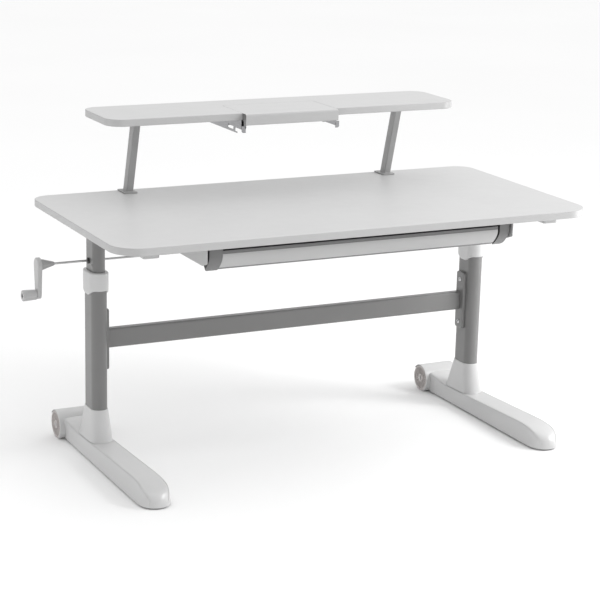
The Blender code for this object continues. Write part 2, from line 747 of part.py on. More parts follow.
def drawer_case():
    """The sheet case under the worktop, open at the front and along the middle of its top."""
    wall = 0.0015
    top = TOP_UNDER - CLEAR
    side = [(CASE_FRONT, top), (CASE_FRONT, CASE_BOTTOM + 0.0095), (0.048, CASE_BOTTOM)]
    side += [(CASE_BACK, CASE_BOTTOM), (CASE_BACK, top)]
    shell = prism(side, "X", -CASE_HALF, CASE_HALF)
    inner = (-CASE_HALF + wall, CASE_HALF - wall)
    room = box(inner, (0.0, CASE_BACK - wall), (CASE_BOTTOM + 0.0012, TOP_UNDER - 0.0015))
    top_hole = box((-CASE_HALF + 0.015, CASE_HALF - 0.015), (0.010, CASE_BACK - 0.015), (0.560, 0.580))
    front_hole = box(inner, (0.010, 0.0665), (CASE_BOTTOM - 0.004, CASE_BOTTOM + 0.011))
    return cut(shell, room, top_hole, front_hole)


def drawer_tray():
    wall = 0.0015
    front = DRAWER_BACK_Y + CLEAR
    half = TRAY_HALF - wall
    outer = box((-TRAY_HALF, TRAY_HALF), (front, TRAY_BACK), (TRAY_FLOOR, DRAWER_TOP))
    inner = box((-half, half), (front + wall, TRAY_BACK - wall), (TRAY_FLOOR + wall, DRAWER_TOP + 0.010))
    return cut(outer, inner)


def drawer_curve(depth, low_share=1.0, steps=10):
    """The front's face seen from its end, from the bottom up: a curve that runs into an upright.

    The depth is how far behind the outer face the curve lies."""
    start = Vector((DRAWER_FACE_Y, 0.548))
    pull = Vector((0.030, 0.530))
    end = Vector((0.0590, 0.5095))
    points = []
    for k in range(steps, -1, -1):
        t = low_share * k / steps
        point = (1 - t) ** 2 * start + 2 * t * (1 - t) * pull + t**2 * end
        along = 2 * (1 - t) * (pull - start) + 2 * t * (end - pull)
        back = Vector((-along.y, along.x)).normalized()
        points.append(tuple(point + depth * back))
    return points


def drawer_front():
    """The dark frame strip: a channel along the front, stepped back where the light insert lies."""
    wall = 0.0045
    step = 0.0020
    lip = INSERT_SHARE + 0.01
    outline = drawer_curve(0.0, FRAME_SHARE)[:1] + drawer_curve(0.0, lip)[:1] + drawer_curve(step, lip)
    outline += [(DRAWER_FACE_Y + step, 0.5535), (DRAWER_FACE_Y, 0.5535), (DRAWER_FACE_Y, DRAWER_TOP - 0.0015)]
    outline += [(DRAWER_FACE_Y + 0.0015, DRAWER_TOP), (DRAWER_BACK_Y - 0.001, DRAWER_TOP)]
    outline += [(DRAWER_BACK_Y - 0.001, DRAWER_TOP - 0.003), (DRAWER_FACE_Y + wall, DRAWER_TOP - 0.003)]
    outline += drawer_curve(wall, FRAME_SHARE)[::-1]
    return prism(outline, "X", *STRIP_X)


def drawer_insert():
    """The light strip set into the frame, flush with its face."""
    depth = 0.0016
    outline = drawer_curve(0.0, INSERT_SHARE)
    outline += [(DRAWER_FACE_Y, 0.5532), (DRAWER_FACE_Y + depth, 0.5532)]
    outline += drawer_curve(depth, INSERT_SHARE)[::-1]
    return prism(outline, "X", *STRIP_X)


def drawer_cap(side):
    """The end piece of the drawer front, a little proud of the strip."""
    proud = 0.0006
    outline = [(DRAWER_BACK_Y, 0.5245), (0.0560, 0.5135)] + drawer_curve(-proud, 0.95)
    outline += [(DRAWER_FACE_Y - proud, 0.5635), (DRAWER_FACE_Y + 0.0015, 0.5655), (DRAWER_BACK_Y, 0.5655)]
    reach = sorted((CAP_INNER[side], side * DRAWER_HALF))
    return prism(outline, "X", *reach)


def build_base(base, finishes):
    for name, side in SIDES:
        place(f"foot_beam_{name}", foot_beam(side), finishes["steel"], base)
        place(f"foot_cover_{name}", foot_cover(side), finishes["white"], base)
        place(f"front_glide_{name}", glide(side), finishes["rubber"], base)
        place(f"leg_socket_{name}", leg_socket(side), finishes["white"], base)
        place(f"outer_leg_{name}", outer_leg(side), finishes["grey"], base)
        place(f"leg_collar_{name}", collar(side), finishes["white"], base)
        place(f"wheel_axle_{name}", axle(side), finishes["steel"], base)
        place(f"nut_post_{name}", nut_post(side), finishes["steel"], base)
        place(f"lead_nut_{name}", lead_nut(side), finishes["brass"], base)
        place(f"stretcher_plate_{name}", stretcher_plate(side), finishes["grey"], base)
        for level, z in BOLT_Z.items():
            place(f"plate_bolt_{name}_{level}", plate_bolt(side, z), finishes["zinc"], base)
        for where, end in (("inner", -side), ("outer", side)):
            x = side * LEG_X + BARREL_SHIFT
            hub = pivot_at(f"wheel_{name}_{where}_pivot", base, (x, BARREL_Y, WHEEL_RADIUS))
            place(f"wheel_{name}_{where}", wheel(x, end), finishes["wheel"], hub, hub["pivot"])
    place("stretcher_bar", stretcher_bar(), finishes["grey"], base)


def build_top(top, finishes):
    thickness = (TOP_UNDER, TOP_HEIGHT)
    worktop = board(TOP_WIDTH / 2, (0.0, TOP_DEPTH), TOP_FRONT_RADIUS, TOP_BACK_RADIUS, thickness)
    place("worktop", worktop, finishes["board"], top)
    place("shelf_board", shelf_board(), finishes["board"], top)
    place("drawer_case", drawer_case(), finishes["white"], top)
    for (name, side), post_x, rail_x in zip(SIDES, POST_X, RAIL_X):
        place(f"inner_leg_{name}", inner_leg(side), finishes["grey"], top)
        place(f"support_arm_{name}", support_arm(side), finishes["white"], top)
        place(f"gearbox_{name}", gearbox(side), finishes["steel"], top)
        place(f"shelf_post_{name}", shelf_post(post_x), finishes["grey"], top)
        place(f"panel_rail_{name}", panel_rail(rail_x, -side, side < 0), finishes["zinc"], top)
        face = -LEG_X - INNER_HALF[0] if side < 0 else LEG_X - INNER_HALF[0]
        place(f"rod_bush_{name}", rod_bush(face, -1), finishes["black"], top)


def build_crank(top, finishes):
    crank = pivot_at("crank_pivot", top, (0.0, CRANK_Y, CRANK_Z))
    rod = turned([(ROD_RADIUS, -0.6294), (ROD_RADIUS, LEG_X + 0.0125)], "X", (CRANK_Y, CRANK_Z), 12)
    place("cross_rod", rod, finishes["steel"], crank, crank["pivot"])
    place("crank_arm", crank_arm(), finishes["white"], crank, crank["pivot"])
    place("grip_pin", grip_pin(), finishes["steel"], crank, crank["pivot"])
    grip = pivot_at("grip_pivot", crank, (0.0, CRANK_Y, GRIP_Z))
    place("crank_grip", crank_grip(), finishes["white"], grip, grip["pivot"])
    for name, side in SIDES:
        place(f"rod_bevel_{name}", rod_bevel(side), finishes["steel"], crank, crank["pivot"])
        screw = pivot_at(f"screw_{name}_pivot", top, (side * LEG_X, CRANK_Y, 0.0))
        place(f"lead_screw_{name}", lead_screw(side), finishes["steel"], screw, screw["pivot"])


def build_drawer(top, finishes):
    drawer = pivot_at("drawer_pivot", top, (0.0, 0.0, CASE_BOTTOM))
    place("drawer_tray", drawer_tray(), finishes["white"], drawer, drawer["pivot"])
    place("drawer_front", drawer_front(), finishes["dark"], drawer, drawer["pivot"])
    place("drawer_insert", drawer_insert(), finishes["white"], drawer, drawer["pivot"])
    for name, side in SIDES:
        place(f"drawer_cap_{name}", drawer_cap(side), finishes["dark"], drawer, drawer["pivot"])


def build_panel(top, finishes):
    panel = pivot_at("panel_pivot", top, (0.0, PANEL_FRONT, SHELF_HEIGHT))
    place("panel_board", panel_board(), finishes["board"], panel, panel["pivot"])
    for (name, side), x in zip(SIDES, RUNNER_X):
        place(f"panel_runner_{name}", panel_runner(x, -side), finishes["zinc"], panel, panel["pivot"])


def main():
    for item in list(bpy.data.objects):
        bpy.data.objects.remove(item)
    finishes = {
        "board": finish("white_board", (0.72, 0.72, 0.72), 0.45),
        "grey": finish("grey_paint", (0.22, 0.22, 0.22), 0.45, 0.2),
        "white": finish("pale_grey", (0.60, 0.60, 0.60), 0.5),
        "dark": finish("dark_grey_plastic", (0.17, 0.17, 0.17), 0.5),
        "steel": finish("steel", (0.50, 0.50, 0.50), 0.35, 1.0),
        "zinc": finish("zinc", (0.55, 0.55, 0.56), 0.4, 1.0),
        "brass": finish("brass", (0.60, 0.46, 0.20), 0.35, 1.0),
        "rubber": finish("glide_plastic", (0.30, 0.30, 0.30), 0.6),
        "wheel": finish("wheel_plastic", (0.40, 0.38, 0.37), 0.5),
        "black": finish("black_plastic", (0.03, 0.03, 0.03), 0.5),
    }
    desk = pivot_at("desk", None, (0.0, 0.0, 0.0))
    desk.location = (SHIFT_X, SHIFT_Y, 0.0)
    base = pivot_at("base", desk, (0.0, 0.0, 0.0))
    top = pivot_at("top_frame", desk, (0.0, 0.0, 0.0))
    build_base(base, finishes)
    build_top(top, finishes)
    build_crank(top, finishes)
    build_drawer(top, finishes)
    build_panel(top, finishes)


main()
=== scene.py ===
import json
import math

import bmesh
import bpy
from mathutils import Matrix, Vector

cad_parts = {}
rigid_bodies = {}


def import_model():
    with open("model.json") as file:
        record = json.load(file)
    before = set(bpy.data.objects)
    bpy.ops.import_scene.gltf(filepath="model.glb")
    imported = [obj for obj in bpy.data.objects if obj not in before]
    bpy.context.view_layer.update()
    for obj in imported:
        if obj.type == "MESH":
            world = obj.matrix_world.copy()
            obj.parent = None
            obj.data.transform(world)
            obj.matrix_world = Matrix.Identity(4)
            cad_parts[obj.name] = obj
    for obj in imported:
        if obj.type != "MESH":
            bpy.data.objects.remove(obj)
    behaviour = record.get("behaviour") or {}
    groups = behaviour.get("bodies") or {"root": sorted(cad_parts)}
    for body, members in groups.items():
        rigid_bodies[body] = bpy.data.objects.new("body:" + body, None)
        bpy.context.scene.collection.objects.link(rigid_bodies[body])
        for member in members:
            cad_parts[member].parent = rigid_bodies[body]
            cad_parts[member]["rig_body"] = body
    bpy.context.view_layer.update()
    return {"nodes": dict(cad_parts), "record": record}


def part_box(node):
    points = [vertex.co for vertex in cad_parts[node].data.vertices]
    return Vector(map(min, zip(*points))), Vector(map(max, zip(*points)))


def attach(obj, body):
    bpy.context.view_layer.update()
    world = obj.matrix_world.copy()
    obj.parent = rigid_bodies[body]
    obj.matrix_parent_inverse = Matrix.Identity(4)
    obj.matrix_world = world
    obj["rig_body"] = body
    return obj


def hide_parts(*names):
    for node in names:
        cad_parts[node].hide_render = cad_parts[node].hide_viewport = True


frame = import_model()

SIDES = (("left", -1), ("right", 1))
LEAST = 0.0003  # the gap between pieces that rest on each other

# Pieces are drawn in the desk's own frame: X from the middle of the worktop, Y from its front edge, Z up.
top_low, top_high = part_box("worktop")
HOME = Vector(((top_low.x + top_high.x) / 2, top_low.y, 0.0))


def span(node):
    """A CAD node's lowest and highest corners in the desk's own frame."""
    low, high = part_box(node)
    return low - HOME, high - HOME


def middle_and_half(low, high, axes):
    """The middle of a box and half its size, along two of its axes."""
    ranges = [(getattr(low, axis), getattr(high, axis)) for axis in axes]
    return tuple((a + b) / 2 for a, b in ranges), tuple((b - a) / 2 for a, b in ranges)


# The camera's place in metres and its angles in degrees.
CAMERA_PLACE = Vector((-1.9590, -3.5797, 1.4996))
CAMERA_YAW = 26.506
CAMERA_PITCH = 14.831
CAMERA_ROLL = 1.370
CAMERA_LENS = 112.2
CAMERA_SENSOR = 36.0

# Boards: the ease of their edges, the radii of their corners, and the gap round the panel.
BOARD_EASE = 0.0016
TOP_FRONT_RADIUS = 0.065
TOP_BACK_RADIUS = 0.045
SHELF_RADIUS = 0.040
NOTCH_GAP = 0.0004
PANEL_LIP_DEPTH = 0.012

# Shelf posts: forward travel for each metre of height, the tube's section, and the end plates' thickness.
POST_LEAN = 0.28
POST_SECTION = (0.018, 0.025)
POST_PLATE = 0.003

# Legs: half the tubes' outlines in X and Y, and the collars' lower edges, which differ a little by side.
LEG_Y = 0.394
LEG_X = span("outer_leg_right")[0].x / 2 + span("outer_leg_right")[1].x / 2
OUTER_HALF = (0.0194, 0.0374)
INNER_HALF = (0.0155, 0.0330)
TUBE_WALL = 0.0015
END_ROUND = 0.985  # the radius of a tube's ends as a share of half its width
ROD_HOLE_RADIUS = 0.0050
SCREW_HOLE_RADIUS = 0.0023
SCREW_HOLE = (0.3765, 0.4647)  # Y and Z of the screw that holds the gear bracket
COLLAR_HALF = (0.0234, 0.0415)
COLLAR_EDGE = {"left": 0.4045, "right": 0.3998}
COLLAR_TONGUE = {"left": 0.3918, "right": 0.3870}

# Feet: a cover with a crease along each side, a round nose in front and a tail that meets the wheel barrel.
FOOT_BOTTOM = 0.004
FOOT_HALF = 0.0385
CREASE_HALF = 0.0305
CROWN = 0.0008
CREASE_START = 0.0478  # the crease's height where the nose starts, and its fall for each metre behind that
CREASE_FALL = 0.0317
CREASE_FILLET = 0.0022
NOSE_START = 0.090
NOSE_ROUND = 0.038
NOSE_FLOOR = -0.004
NOSE_TIP = -0.0125
TAIL_START = 0.438
TAIL_END = 0.505
TAIL_HALF = 0.0395
TAIL_SHIFT = -0.0050
TAIL_RISE = 0.0190
TAIL_CROWN = 0.0030
SOCKET_HALF = (0.0282, 0.0620)  # the boot's outline on the foot
SOCKET_RADIUS = 0.0265
SOCKET_SHIFT = 0.004
SOCKET_RIM = 0.0015
SOCKET_RIM_RADIUS = 0.0205
BARREL_Y = 0.533
BARREL_RADIUS = 0.0360
BARREL_SHIFT = -0.0075
BARREL_HALF = 0.0475
WHEEL_RADIUS = 0.0340
WHEEL_INNER = 0.0312
WHEEL_OUTER = 0.0462
AXLE_RADIUS = 0.0035

# Stretcher plates, crank and drawer front.
PLATE_RADIUS = 0.0065
BOLT_Y = 0.396
CRANK_Y = 0.398
CRANK_Z = 0.470
CRANK_INNER_X = -0.6405
GRIP_Z = 0.4005
GRIP_FLOOR_X = -0.6786  # the bottom of the recess that the grip pin's head lies in
DRAWER_FACE_Y = span("drawer_insert")[0].y
DRAWER_BACK_Y = 0.0585
DRAWER_TOP = 0.5615
CAP_TOP = 0.5655
FRAME_SHARE = 0.90  # how far down the front's curve the channel and its insert reach
INSERT_SHARE = 0.79


# Materials


SWELL_SCALE = 220.0  # noise scales are in features to a metre, and heights in metres
STREAK_SCALE = 900.0
STREAK_HEIGHT = 0.00001
CLOUD_SCALE = 30.0
NOISE_RANGE = (0.3, 0.7)  # what most of a noise texture's values lie between
COAT_ROUGHNESS = 0.06


class Graph:
    """A material's nodes, built one call at a time around its Principled BSDF."""

    def __init__(self, name):
        self.material = bpy.data.materials.new(name)
        self.material.use_nodes = True
        self.tree = self.material.node_tree
        self.shader = self.tree.nodes["Principled BSDF"]
        self.place = self.add("ShaderNodeTexCoord").outputs["Object"]

    def add(self, kind, **values):
        node = self.tree.nodes.new(kind)
        for name, value in values.items():
            setattr(node, name, value)
        return node

    def link(self, output, target):
        self.tree.links.new(output, target)

    def stretched(self, scale):
        """The place on the surface, scaled along each axis."""
        mapping = self.add("ShaderNodeMapping")
        mapping.inputs["Scale"].default_value = scale
        self.link(self.place, mapping.inputs["Vector"])
        return mapping.outputs["Vector"]

    def noise(self, scale, detail, vector=None):
        node = self.add("ShaderNodeTexNoise")
        node.inputs["Scale"].default_value = scale
        node.inputs["Detail"].default_value = detail
        self.link(vector or self.place, node.inputs["Vector"])
        return node.outputs["Fac"]

    def cells(self, scale):
        """Soft round cells, as in moulded grain and orange peel."""
        node = self.add("ShaderNodeTexVoronoi", feature="SMOOTH_F1")
        node.inputs["Scale"].default_value = scale
        self.link(self.place, node.inputs["Vector"])
        return node.outputs["Distance"]

    def between(self, value, low, high):
        """A noise value, spread over low to high."""
        node = self.add("ShaderNodeMapRange")
        node.inputs["From Min"].default_value = NOISE_RANGE[0]
        node.inputs["From Max"].default_value = NOISE_RANGE[1]
        node.inputs["To Min"].default_value = low
        node.inputs["To Max"].default_value = high
        self.link(value, node.inputs["Value"])
        return node.outputs["Result"]

    def tinted(self, value, dark, light):
        """A colour between dark and light, as the value says."""
        node = self.add("ShaderNodeMix", data_type="RGBA")
        node.inputs["A"].default_value = (*dark, 1.0)
        node.inputs["B"].default_value = (*light, 1.0)
        self.link(self.between(value, 0.0, 1.0), node.inputs["Factor"])
        return node.outputs["Result"]

    def raised(self, value, distance, under=None):
        """A normal with the value as relief, in metres, on top of the relief under it."""
        node = self.add("ShaderNodeBump")
        node.inputs["Distance"].default_value = distance
        self.link(value, node.inputs["Height"])
        if under is not None:
            self.link(under, node.inputs["Normal"])
        return node.outputs["Normal"]


def grey(level):
    return (level, level, level)


def shaded(colour, share):
    return tuple(channel * share for channel in colour)


def finish(
    name, colour, roughness, mottle=0.03, patch=9.0, grain=1500.0, height=0.00002, swell=0.0, coat=0.0
):
    """A coated or moulded surface: faint mottling, uneven gloss, a fine grain and, on paint, a swell."""
    graph = Graph(name)
    shader = graph.shader
    tint = graph.tinted(graph.noise(patch, 4.0), shaded(colour, 1 - mottle), shaded(colour, 1 + mottle))
    graph.link(tint, shader.inputs["Base Color"])
    gloss = graph.between(graph.noise(patch * 4, 3.0), roughness * 0.9, roughness * 1.1)
    graph.link(gloss, shader.inputs["Roughness"])
    normal = graph.raised(graph.cells(grain), height)
    if swell:
        normal = graph.raised(graph.noise(SWELL_SCALE, 1.0), swell, normal)
    graph.link(normal, shader.inputs["Normal"])
    shader.inputs["Coat Weight"].default_value = coat
    shader.inputs["Coat Roughness"].default_value = COAT_ROUGHNESS
    return graph.material


def bare_metal(name, colour, roughness, stretch):
    """Drawn or turned metal: streaks along its working direction in colour, gloss and relief."""
    graph = Graph(name)
    shader = graph.shader
    streaks = graph.noise(STREAK_SCALE, 2.0, graph.stretched(stretch))
    clouds = graph.noise(CLOUD_SCALE, 3.0)
    graph.link(graph.tinted(clouds, shaded(colour, 0.9), shaded(colour, 1.06)), shader.inputs["Base Color"])
    graph.link(graph.between(streaks, roughness * 0.75, roughness * 1.3), shader.inputs["Roughness"])
    graph.link(graph.raised(streaks, STREAK_HEIGHT), shader.inputs["Normal"])
    shader.inputs["Metallic"].default_value = 1.0
    return graph.material


BOARD = {"mottle": 0.012, "grain": 1400.0, "height": 0.000012}
EDGE_BAND = {"mottle": 0.012, "grain": 2600.0, "height": 0.000008}
POWDER = {"grain": 1900.0, "height": 0.00001, "swell": 0.00002}
POLISHED = {"mottle": 0.012, "height": 0.000005}
SATIN = {"grain": 2600.0, "height": 0.000012}
WORN = {"mottle": 0.06, "patch": 60.0, "grain": 2200.0}
ALONG_X = (0.04, 1.0, 1.0)
ALONG_Y = (1.0, 0.05, 1.0)
ALONG_Z = (1.0, 1.0, 0.05)

FINISHES = {
    "white_board": finish("white_laminate", grey(0.62), 0.42, **BOARD),
    # The edge band is darker than the laminate: painted shade on the boards' upright sides.
    "board_edge": finish("edge_band_with_painted_shade", grey(0.50), 0.38, **EDGE_BAND),
    # The grey paint is the legs' own coat; on the panel's ends it is painted shade.
    "grey_paint": finish("grey_powder_coat", (0.186, 0.185, 0.183), 0.38, coat=0.3, **POWDER),
    "post_paint": finish("light_grey_powder_coat", grey(0.36), 0.42, **POWDER),
    "pale_paint": finish("pale_powder_coat", grey(0.50), 0.45, **POWDER),
    "pale_plastic": finish("pale_moulded_plastic", grey(0.60), 0.34, coat=0.3, **POLISHED),
    "insert_plastic": finish("insert_plastic", grey(0.46), 0.36, **POLISHED),
    "crank_plastic": finish("crank_plastic", grey(0.45), 0.34, coat=0.3, **POLISHED),
    "sleeve_plastic": finish("crank_sleeve_plastic", grey(0.34), 0.40, **POLISHED),
    "dark_plastic": finish("dark_satin_plastic", grey(0.165), 0.42, mottle=0.02, **SATIN),
    # Black: the rod bushes' own plastic, and painted shade on the drawer front's top face and on its caps'
    # ends.
    "black_plastic": finish("black_plastic_and_painted_shade", grey(0.022), 0.45, **SATIN),
    "glide_plastic": finish("soft_glide_plastic", grey(0.30), 0.60, grain=2000.0),
    "wheel_plastic": finish("wheel_plastic", (0.53, 0.50, 0.49), 0.50, **WORN),
    "steel": bare_metal("drawn_steel", grey(0.50), 0.32, ALONG_X),
    "zinc_steel": bare_metal("zinc_plated_steel", (0.66, 0.66, 0.67), 0.24, ALONG_Y),
    # A darker copy of the zinc-plated steel: painted shade for the panel's rails and runners under the
    # shelf.
    "shaded_rail_steel": bare_metal("shaded_rail_steel", (0.36, 0.36, 0.37), 0.30, ALONG_Y),
    "brass": bare_metal("machined_brass", (0.66, 0.50, 0.23), 0.30, ALONG_Z),
}


# Mesh tools


def arc(centre, radius, start, end, steps):
    """Points along an arc, its angles in degrees."""
    points = []
    for k in range(steps + 1):
        angle = math.radians(start + (end - start) * k / steps)
        points.append((centre[0] + radius * math.cos(angle), centre[1] + radius * math.sin(angle)))
    return points


def circle(radius, steps, centre):
    """A whole circle's points, without its first one a second time."""
    return arc(centre, radius, 0, 360 * (steps - 1) / steps, steps - 1)


def rounded(half, radius, centre, steps=8, inset=0.0, far=None):
    """A rectangle's outline with round corners, moved in by an inset; the far ones can differ in radius."""
    near_round = radius - inset
    far_round = near_round if far is None else far - inset
    points = []
    corners = ((-1, -1, near_round), (1, -1, near_round), (1, 1, far_round), (-1, 1, far_round))
    for turn, (side_a, side_b, corner) in enumerate(corners):
        a = centre[0] + side_a * (half[0] - inset - corner)
        b = centre[1] + side_b * (half[1] - inset - corner)
        start = (180 + 90 * turn) % 360
        points += arc((a, b), corner, start, start + 90, steps)
    return points


def ring(outline, axis, station):
    """An outline of pairs laid square to an axis, at a station along it."""
    if axis == "X":
        return [(station, a, b) for a, b in outline]
    if axis == "Y":
        return [(a, station, b) for a, b in outline]
    return [(a, b, station) for a, b in outline]


def skin(rings, looped=False):
    """A closed mesh over a stack of rings: flat ends, or a tube's wall when the stack loops back."""
    shape = bmesh.new()
    rows = [[shape.verts.new(point) for point in points] for points in rings]
    pairs = list(zip(rows, rows[1:]))
    if looped:
        pairs.append((rows[-1], rows[0]))
    count = len(rows[0])
    for low, high in pairs:
        for a in range(count):
            b = (a + 1) % count
            shape.faces.new((low[a], low[b], high[b], high[a]))
    if not looped:
        shape.faces.new(rows[0][::-1])
        shape.faces.new(rows[-1])
    bmesh.ops.recalc_face_normals(shape, faces=shape.faces)
    mesh = bpy.data.meshes.new("shape")
    shape.to_mesh(mesh)
    shape.free()
    return mesh


def quarter_turn(steps, first=0):
    """The sine and cosine of each angle from 0 to 90 degrees, in even steps."""
    angles = [math.pi / 2 * k / steps for k in range(first, steps + 1)]
    return [(math.sin(angle), math.cos(angle)) for angle in angles]


def eased(low, high, ease, steps=4, ends=(True, True)):
    """Stations from low to high with the inset of each, rounding off the chosen ends."""
    sign = 1 if high > low else -1
    levels = []
    if ends[0]:
        for sine, cosine in quarter_turn(steps):
            levels.append((low + sign * ease * (1 - cosine), ease * (1 - sine)))
    else:
        levels.append((low, 0.0))
    if ends[1]:
        for sine, cosine in quarter_turn(steps):
            levels.append((high - sign * ease * (1 - sine), ease * (1 - cosine)))
    else:
        levels.append((high, 0.0))
    return levels


def turned(profile, centre, steps=56, bored=False):
    """A piece round a line along X, from pairs of radius and station; a bored one's profile loops back."""
    rings = [ring(circle(radius, steps, centre), "X", station) for radius, station in profile]
    return skin(rings, looped=bored)


def box(x_range, y_range, z_range):
    (left, right), (front, back) = x_range, y_range
    return skin([[(left, front, z), (right, front, z), (right, back, z), (left, back, z)] for z in z_range])


def modified(mesh, kind, **settings):
    """The mesh after one modifier."""
    item = bpy.data.objects.new("work", mesh)
    bpy.context.scene.collection.objects.link(item)
    modifier = item.modifiers.new(kind, kind)
    for name, value in settings.items():
        setattr(modifier, name, value)
    made = bpy.data.meshes.new_from_object(item.evaluated_get(bpy.context.evaluated_depsgraph_get()))
    bpy.data.objects.remove(item)
    return made


def combined(body, operation, tools):
    for tool in tools:
        other = bpy.data.objects.new("tool", tool)
        bpy.context.scene.collection.objects.link(other)
        body = modified(body, "BOOLEAN", operation=operation, solver="EXACT", object=other)
        bpy.data.objects.remove(other)
    body.materials.clear()
    return body


def join(body, *tools):
    return combined(body, "UNION", tools)


def cut(body, *tools):
    return combined(body, "DIFFERENCE", tools)


def bevelled(mesh, width, angle=30):
    """The mesh with its sharp edges rounded."""
    edges = {"limit_method": "ANGLE", "angle_limit": math.radians(angle), "miter_outer": "MITER_ARC"}
    return modified(mesh, "BEVEL", width=width, segments=2, **edges)


def piece(name, mesh, slot, body, *nodes, finishes=None, sharp=32, home=HOME):
    """Places a finished mesh as a piece that rides on a body and stands for its CAD nodes."""
    mesh.name = name
    mesh.materials.clear()
    for look in finishes or [slot]:
        mesh.materials.append(FINISHES[look])
    mesh.shade_smooth()
    mesh.set_sharp_from_angle(angle=math.radians(sharp))
    item = bpy.data.objects.new(name, mesh)
    bpy.context.scene.collection.objects.link(item)
    item.location = home
    normals = item.modifiers.new("normals", "WEIGHTED_NORMAL")
    normals.keep_sharp = True
    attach(item, body)
    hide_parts(*nodes)


def paint_faces(mesh, which):
    """Gives each face of a placed piece one of its finishes, by the number that a rule returns."""
    for face in mesh.polygons:
        face.material_index = int(which(face))


SLOT_OF = {row["node"]: row["material_slot"] for row in frame["record"]["subparts"]}


def body_of(node):
    return frame["nodes"][node]["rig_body"]


def softened_copy(node, width, finishes=None):
    """Stands for a folded or plain CAD node with its shape, the edges rounded as a press leaves them."""
    shape = bmesh.new()
    shape.from_mesh(frame["nodes"][node].data)
    bmesh.ops.remove_doubles(shape, verts=shape.verts, dist=0.00001)
    bmesh.ops.dissolve_limit(shape, angle_limit=math.radians(0.5), verts=shape.verts, edges=shape.edges)
    mesh = bpy.data.meshes.new("shape")
    shape.to_mesh(mesh)
    shape.free()
    made = bevelled(mesh, width)
    here = Vector((0.0, 0.0, 0.0))
    piece(f"{node}_finished", made, SLOT_OF[node], body_of(node), node, finishes=finishes, home=here)


# Boards


def board(name, node, outline):
    """A laminated board: the outline at an inset, eased edges, and an edge band round its sides, darker than
    the top as painted shade.
    """
    low, high = span(node)
    levels = eased(low.z, high.z, BOARD_EASE, 5)
    mesh = skin([ring(outline(inset), "Z", z) for z, inset in levels])
    piece(name, mesh, "white_board", body_of(node), node, finishes=["white_board", "board_edge"])
    # Upright faces take the darker edge band, which is painted shade on the sides.
    paint_faces(mesh, lambda face: abs(face.normal.z) < 0.9)


def worktop():
    middle, half = middle_and_half(*span("worktop"), "xy")

    def outline(inset):
        return rounded(half, TOP_FRONT_RADIUS, middle, 20, inset, TOP_BACK_RADIUS)

    board("worktop_board", "worktop", outline)


def shelf():
    """The raised board, with a notch in its front edge that the panel slides in."""
    low, high = span("shelf_board")
    middle, half = middle_and_half(low, high, "xy")
    panel_low, panel_high = span("panel_board")
    notch_ease = 0.2  # the notch's edges are rounded less than the outer ones

    def outline(inset):
        points = rounded(half, SHELF_RADIUS, middle, 18, inset)
        gap = NOTCH_GAP + notch_ease * inset
        left = panel_low.x - gap
        right = panel_high.x + gap
        back = panel_high.y + gap
        front = low.y + inset
        notch = [(left, front), (left, back), (right, back), (right, front)]
        first_corner = len(points) // 4
        return points[:first_corner] + notch + points[first_corner:]

    board("shelf_board_finished", "shelf_board", outline)


def panel():
    """The pull-out panel with a rolled front edge, a deeper lip below it, and its ends painted grey as
    shade.
    """
    low, high = span("panel_board")
    under = span("shelf_board")[0].z
    roll = 0.0045
    lip_round = 0.002
    lip_back = low.y + PANEL_LIP_DEPTH
    outline = arc((low.y + roll, high.z - roll), roll, 180, 90, 10)
    outline += [(high.y, high.z), (high.y, under), (lip_back, under), (lip_back, low.z)]
    outline += arc((low.y + lip_round, low.z + lip_round), lip_round, 270, 180, 4)
    mesh = bevelled(skin([ring(outline, "X", low.x), ring(outline, "X", high.x)]), 0.0005, 40)
    finishes = ["white_board", "board_edge", "grey_paint"]
    piece("pull_out_panel", mesh, "white_board", "panel", "panel_board", finishes=finishes)
    # Upright faces take the edge band, darkened as painted shade; the end faces take the grey paint as
    # painted shade on the panel's ends.
    paint_faces(mesh, lambda face: (abs(face.normal.z) < 0.9) + (abs(face.normal.x) > 0.9))


# Legs


def stadium(half, side, inset=0.0, steps=16, flats=1):
    """A leg tube's outline: round ends, and long flat sides split into a number of lengths."""
    half_x, half_y = half[0] - inset, half[1] - inset
    corners = rounded((half_x, half_y), END_ROUND * half_x, (side * LEG_X, LEG_Y), steps)
    each_side = 2 * (steps + 1)
    points = []
    for k, (x, y) in enumerate(corners):
        points.append((x, y))
        if k % each_side == each_side - 1:
            next_x, next_y = corners[(k + 1) % len(corners)]
            for split in range(1, flats):
                points.append((x + (next_x - x) * split / flats, y + (next_y - y) * split / flats))
    return points


def leg_tube(half, side, node):
    """A tube with a wall, as long as its node, its cut ends just broken."""
    low, high = span(node)
    rings = [ring(stadium(half, side, inset), "Z", z) for z, inset in eased(low.z, high.z, 0.0004, 2)]
    rings.append(ring(stadium(half, side, TUBE_WALL), "Z", high.z))
    rings.append(ring(stadium(half, side, TUBE_WALL), "Z", low.z))
    return skin(rings, looped=True)


def legs():
    """The outer tubes, and the inner ones with their holes: the rod passes right through the left leg."""
    for name, side in SIDES:
        outer = f"outer_leg_{name}"
        piece(f"{outer}_tube", leg_tube(OUTER_HALF, side, outer), "grey_paint", "base", outer)
        inner = f"inner_leg_{name}"
        x = side * LEG_X
        start = x - 0.020
        end = x + 0.020 if side < 0 else x
        rod_hole = turned([(ROD_HOLE_RADIUS, start), (ROD_HOLE_RADIUS, end)], (CRANK_Y, CRANK_Z), 32)
        screw_hole = turned([(SCREW_HOLE_RADIUS, start), (SCREW_HOLE_RADIUS, x)], SCREW_HOLE, 20)
        tube = cut(leg_tube(INNER_HALF, side, inner), rod_hole, screw_hole)
        piece(f"{inner}_tube", tube, "grey_paint", "top_frame", inner)


